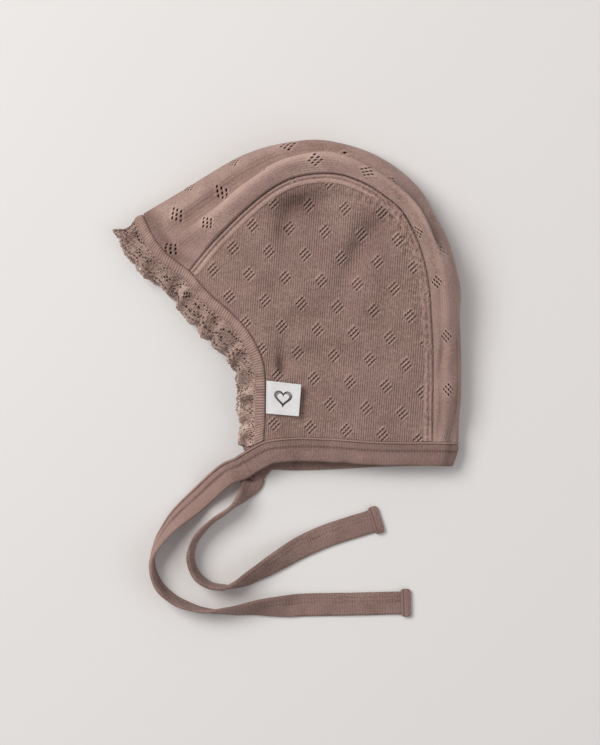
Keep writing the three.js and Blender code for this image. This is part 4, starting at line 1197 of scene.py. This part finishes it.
def laceTrim():
    frames = fineFrames(faceFrames, bonnet["bandWidth"], lace["cell"], bonnet["seamGap"])
    total = frames["run"][-1] - frames["run"][0]
    scallops = int(round(total / lace["pitch"]))
    columns = scallops * lace["perScallop"]
    share = np.linspace(0, 1, columns + 1)
    runShare = (frames["run"] - frames["run"][0]) / total
    fine = {key: np.stack([np.interp(share, runShare, frames[key][:, k]) for k in range(3)], axis=1)
            for key in ("point", "off", "along")}
    run = share * total
    drift = 0.12 * np.sin(run / 11 + 1) + 0.09 * np.sin(run / 5.3)
    phase = share * scallops + drift * insideEnds(share, 20)
    way = 1 - np.abs(2 * share - 1)
    width = lace["width"] * softProfile(lace["spread"], way)
    picot = lace["picot"] * np.abs(np.sin(np.pi * run / lace["picotEvery"]))
    picot += 0.4 * wrinkles(run, run * 0, 5, 21)
    reach = width - lace["depth"] * (1 - np.abs(np.sin(np.pi * phase))) + picot
    clear = clearOfSurface(fine["point"][:, 2])
    wave = np.cos(2 * np.pi * phase)
    flute = 0.75 * wave + 0.55 * np.sin(2 * np.pi * run / lace["fluteEvery"] + 0.8)
    flute += 0.35 * wrinkles(run, run * 0, 9, 22)
    ruffle = lace["gather"] * ((1 - clear) * (1 + wave) / 2 * 0.8 + clear * flute) + lace["droop"] * clear
    off = unit(fine["off"] * [1, 1, lace["slope"]])
    normal = unit(np.cross(fine["along"], off))
    bm, column, row = gridMesh(columns, lace["rows"])
    d = row / lace["rows"]
    edge = fine["point"] + fine["off"] * bonnet["bandWidth"]
    outward = d * (reach[column] + 0.3)
    points = edge[column] + off[column] * (outward - 0.3)[:, None]
    lean = lace["lean"] * clear[column] * np.sin(2 * np.pi * run[column] / lace["leanEvery"] + 2) * d
    points = points + fine["along"][column] * lean[:, None]
    hollowed = lace["hollowed"] * clear[column] * np.sin(np.pi * np.clip(d * 1.15, 0, 1))
    hollowed *= 0.5 - 0.7 * flute[column]
    lumps = wrinkles(run[column], outward, lace["lumpEvery"], 23)
    sink = d**1.3 * ruffle[column] + hollowed * ease(d * 4)
    sink -= lace["lump"] * lumps * (0.3 + 0.7 * clear[column])
    points = points - normal[column] * (sink + 0.4 * clear[column])[:, None]
    points[:, 2] = np.maximum(points[:, 2], 0.05)
    # Painted shade in the lace's cupped hollows and between its lumps and painted highlight on its crests;
    # painted light on the trim's lower near end and painted shade from its upper part on.
    paintedShadeTone = np.clip(-0.22 * lumps, -0.2, 0.4) + np.clip(0.2 * hollowed, -0.3, 0.5)
    paintedShadeTone += 0.14 * np.interp(share[column], [0, 0.08, 0.2, 0.34], [-1.8, -1.2, 0.5, 0.6])
    shapeGrid(bm, points, np.stack([run[column], outward], axis=1), paintedShadeTone)
    rough = wrinkles(run[column], outward, 4.5, 24)
    doomed = []
    for face in bm.faces:
        corners = [vert.index for vert in face.verts]
        first = min(corners, key=lambda k: (row[k], column[k]))
        if laceOpen(int(column[first]), int(row[first]), rough[first]):
            doomed.append(face)
    bmesh.ops.delete(bm, geom=doomed, context="FACES")
    bmesh.ops.smooth_vert(bm, verts=bm.verts, factor=0.5, use_axis_x=True, use_axis_y=True, use_axis_z=True)
    bmesh.ops.recalc_face_normals(bm, faces=bm.faces)
    piece = makePiece(bm, "lace_edge", materials["lace"], ["lace_trim"])
    addWall(piece, lace["wall"])
    return piece


laceEdge = laceTrim()

labelLook = {
    "width": 17, "height": 16.4, "clearance": 0.45, "wall": 0.4, "curl": 1.2, "steps": 40,
    "corners": [(-34.2, -25), (-16.9, -27), (-18.1, -42.7), (-34.4, -41.3)],
    "motifSize": 8.6, "threadSize": (0.75, 0.19),
}


# Places on the label, by shares across from the band and down from its upper edge.
def labelPoint(across, down):
    p, q = np.asarray(across)[..., None], np.asarray(down)[..., None]
    c0, c1, c2, c3 = (np.array(corner) for corner in labelLook["corners"])
    plan = (c0 * (1 - p) + c1 * p) * (1 - q) + (c3 * (1 - p) + c2 * p) * q
    a, b, _ = panelShares(nearPanelPoint, plan[..., 0].ravel(), plan[..., 1].ravel())
    height = nearPanelPoint(a, b)[:, 2].reshape(np.shape(across))
    lift = bonnet["proud"] + labelLook["clearance"] + 1 + labelLook["curl"] * across**2
    return np.concatenate([plan, (height + lift)[..., None]], axis=-1)


def labelPiece():
    look = labelLook
    bm, column, row = gridMesh(look["steps"], look["steps"])
    across, down = column / look["steps"], 1 - row / look["steps"]
    points = labelPoint(across, down)
    fromBand = across * look["width"]
    rim = np.minimum(np.minimum(across, 1 - across), np.minimum(down, 1 - down)) * look["width"]
    points[:, 2] += 0.1 * hump(rim, 0, 0.8) - 0.9 * hump(fromBand, 0, 1.5)
    points[:, 2] += 0.07 * wrinkles(points[:, 0], points[:, 1], 7, 31)
    # Painted shade along the edge tucked under the band and in a thin line just inside the rim.
    paintedShadeTone = 0.25 * hump(fromBand, 0, 0.8) + 0.1 * hump(rim, 1.1, 0.25)
    shapeGrid(bm, points, np.stack([fromBand, down * look["height"]], axis=1), paintedShadeTone)
    bmesh.ops.recalc_face_normals(bm, faces=bm.faces)
    piece = makePiece(bm, "woven_label", materials["woven"], ["label"])
    addWall(piece, look["wall"])
    return piece


label = labelPiece()


# Short rounded stitches at places along a line, each laid along its own direction. size is their
# length and radius, and pale lightens the thread.
def stitchRow(name, places, directions, size, material, pale=0.0):
    length, radius = np.array(size) * metre
    shape = Matrix.Diagonal((length / 2, radius, radius, 1))
    bm = bmesh.new()
    for place, way in zip(places, directions):
        turn = Vector(way).to_track_quat("X", "Z").to_matrix().to_4x4()
        matrix = Matrix.Translation(Vector(place) * metre) @ turn @ shape
        bmesh.ops.create_icosphere(bm, subdivisions=1, radius=1, matrix=matrix)
    layer = bm.loops.layers.uv.new("cloth")
    depth = bm.verts.layers.float.new("paintedShadeTone")
    for vert in bm.verts:
        vert[depth] = -pale
    for face in bm.faces:
        face.smooth = True
        for loop in face.loops:
            loop[layer].uv = (loop.vert.co.x * 10, loop.vert.co.y * 10)
    return makePiece(bm, name, materials[material])


# Places at runs along frames, at a distance across them and a height off them, and the way along.
def framesPlace(frames, run, distance, height):
    share = np.interp(run, frames["run"], np.arange(len(frames["run"])))
    k = np.clip(share.astype(int), 0, len(frames["run"]) - 2)
    f = (share - k)[:, None]
    point, off, normal, along = (
        frames[key][k] * (1 - f) + frames[key][k + 1] * f for key in ("point", "off", "normal", "along")
    )
    return point + off * distance + normal * height[:, None], unit(along)


def bindingStitches():
    look = bindingLook
    runs = np.arange(1, bindingFrames["run"][-1] - 1, look["stitchPitch"])
    out = np.interp(runs, bindingFrames["run"], bindingOut)
    places, ways = framesPlace(bindingFrames, runs, look["stitchAt"], out - 0.27)
    places[:, 2] = np.maximum(places[:, 2], 0.2)
    return stitchRow("binding_stitches", places, ways, look["stitchSize"], "ribbed", 0.3)


bindingSewing = bindingStitches()


# Stitches along the sewn run of a tie, at distances from its first edge. side is -1 where the other
# face is up.
def tieStitches(name, frames, sewn, distances, side):
    runs = np.arange(*sewn, bindingLook["stitchPitch"])
    height = np.full(len(runs), side * (tieLook["wall"] / 2 + 0.03))
    rows = [framesPlace(frames, runs, distance, height) for distance in distances]
    places, ways = (np.concatenate(part) for part in zip(*rows))
    return stitchRow(name, places, ways, bindingLook["stitchSize"], "ribbed", 0.6)


nearTieSewing = tieStitches(
    "near_tie_stitches", nearTieFrames, tieLook["nearSewn"], tieLook["nearStitches"], 1,
)
farTieSewing = tieStitches("far_tie_stitches", farTieFrames, tieLook["farSewn"], tieLook["farStitches"], -1)


# A small heart of dark thread on the label: three loops of short stitches.
def labelMotif():
    look = labelLook
    sizes = (1, 0.88, 0.74)
    t = np.linspace(0, 2 * np.pi, 57)
    x = 16 * np.sin(t) ** 3
    y = 13 * np.cos(t) - 5 * np.cos(2 * t) - 2 * np.cos(3 * t) - np.cos(4 * t)
    heart = np.stack([x, y + 2], axis=1) / 16 * look["motifSize"] / 2
    line = np.concatenate([heart * size for size in sizes])
    points = labelPoint(0.5 + line[:, 0] / look["width"], 0.5 - line[:, 1] / look["height"]) + [0, 0, 0.1]
    ways = np.concatenate([np.gradient(part, axis=0) for part in np.split(points, len(sizes))])
    good = np.linalg.norm(ways, axis=1) > 1e-3
    return stitchRow("label_heart", points[good], ways[good], look["threadSize"], "motif")


heart = labelMotif()
print("lace and label ready")

# Floor, light and camera
studio = {
    "floorSize": 6, "floorColor": (0.80, 0.785, 0.772), "keyPlace": (-1.0, 0.62, 1.3), "keySize": 0.95,
    "keyPower": 23.2, "keyColor": (1, 0.985, 0.96), "fillPlace": (1.2, -0.4, 0.9), "fillSize": 1.2,
    "fillPower": 4.3, "sky": (0.97, 0.945, 0.96), "skyStrength": 0.358, "floorDrop": 0.0002,
}


def studioFloor():
    bm = bmesh.new()
    bmesh.ops.create_grid(bm, x_segments=1, y_segments=1, size=studio["floorSize"] / 2)
    bmesh.ops.translate(bm, verts=bm.verts, vec=(0, 0, -studio["floorDrop"]))
    mesh = bpy.data.meshes.new("floor")
    bm.to_mesh(mesh)
    bm.free()
    floor = bpy.data.objects.new("floor", mesh)
    bpy.context.scene.collection.objects.link(floor)
    material = bpy.data.materials.new("paleFloor")
    material.use_nodes = True
    shader = material.node_tree.nodes["Principled BSDF"]
    shader.inputs["Base Color"].default_value = (*studio["floorColor"], 1)
    shader.inputs["Roughness"].default_value = 0.85
    shader.inputs["Specular IOR Level"].default_value = 0.15
    mesh.materials.append(material)


def areaLight(name, place, size, power, color=(1, 1, 1)):
    light = bpy.data.lights.new(name, "AREA")
    light.shape = "SQUARE"
    light.size, light.energy, light.color = size, power, color
    lamp = bpy.data.objects.new(name, light)
    lamp.location = place
    lamp.rotation_euler = (-Vector(place)).to_track_quat("-Z", "Y").to_euler()
    bpy.context.scene.collection.objects.link(lamp)


studioFloor()
areaLight("key", studio["keyPlace"], studio["keySize"], studio["keyPower"], studio["keyColor"])
areaLight("fill", studio["fillPlace"], studio["fillSize"], studio["fillPower"])
world = bpy.data.worlds.new("sky")
world.use_nodes = True
world.node_tree.nodes["Background"].inputs["Color"].default_value = (*studio["sky"], 1)
world.node_tree.nodes["Background"].inputs["Strength"].default_value = studio["skyStrength"]
bpy.context.scene.world = world
bpy.context.scene.view_settings.view_transform = "Standard"

cameraData = bpy.data.cameras.new("camera")
cameraData.lens = view["lens"]
cameraData.sensor_width = 36
camera = bpy.data.objects.new("camera", cameraData)
camera.location = view["place"]
bpy.context.scene.collection.objects.link(camera)
bpy.context.scene.camera = camera
print("stage ready")
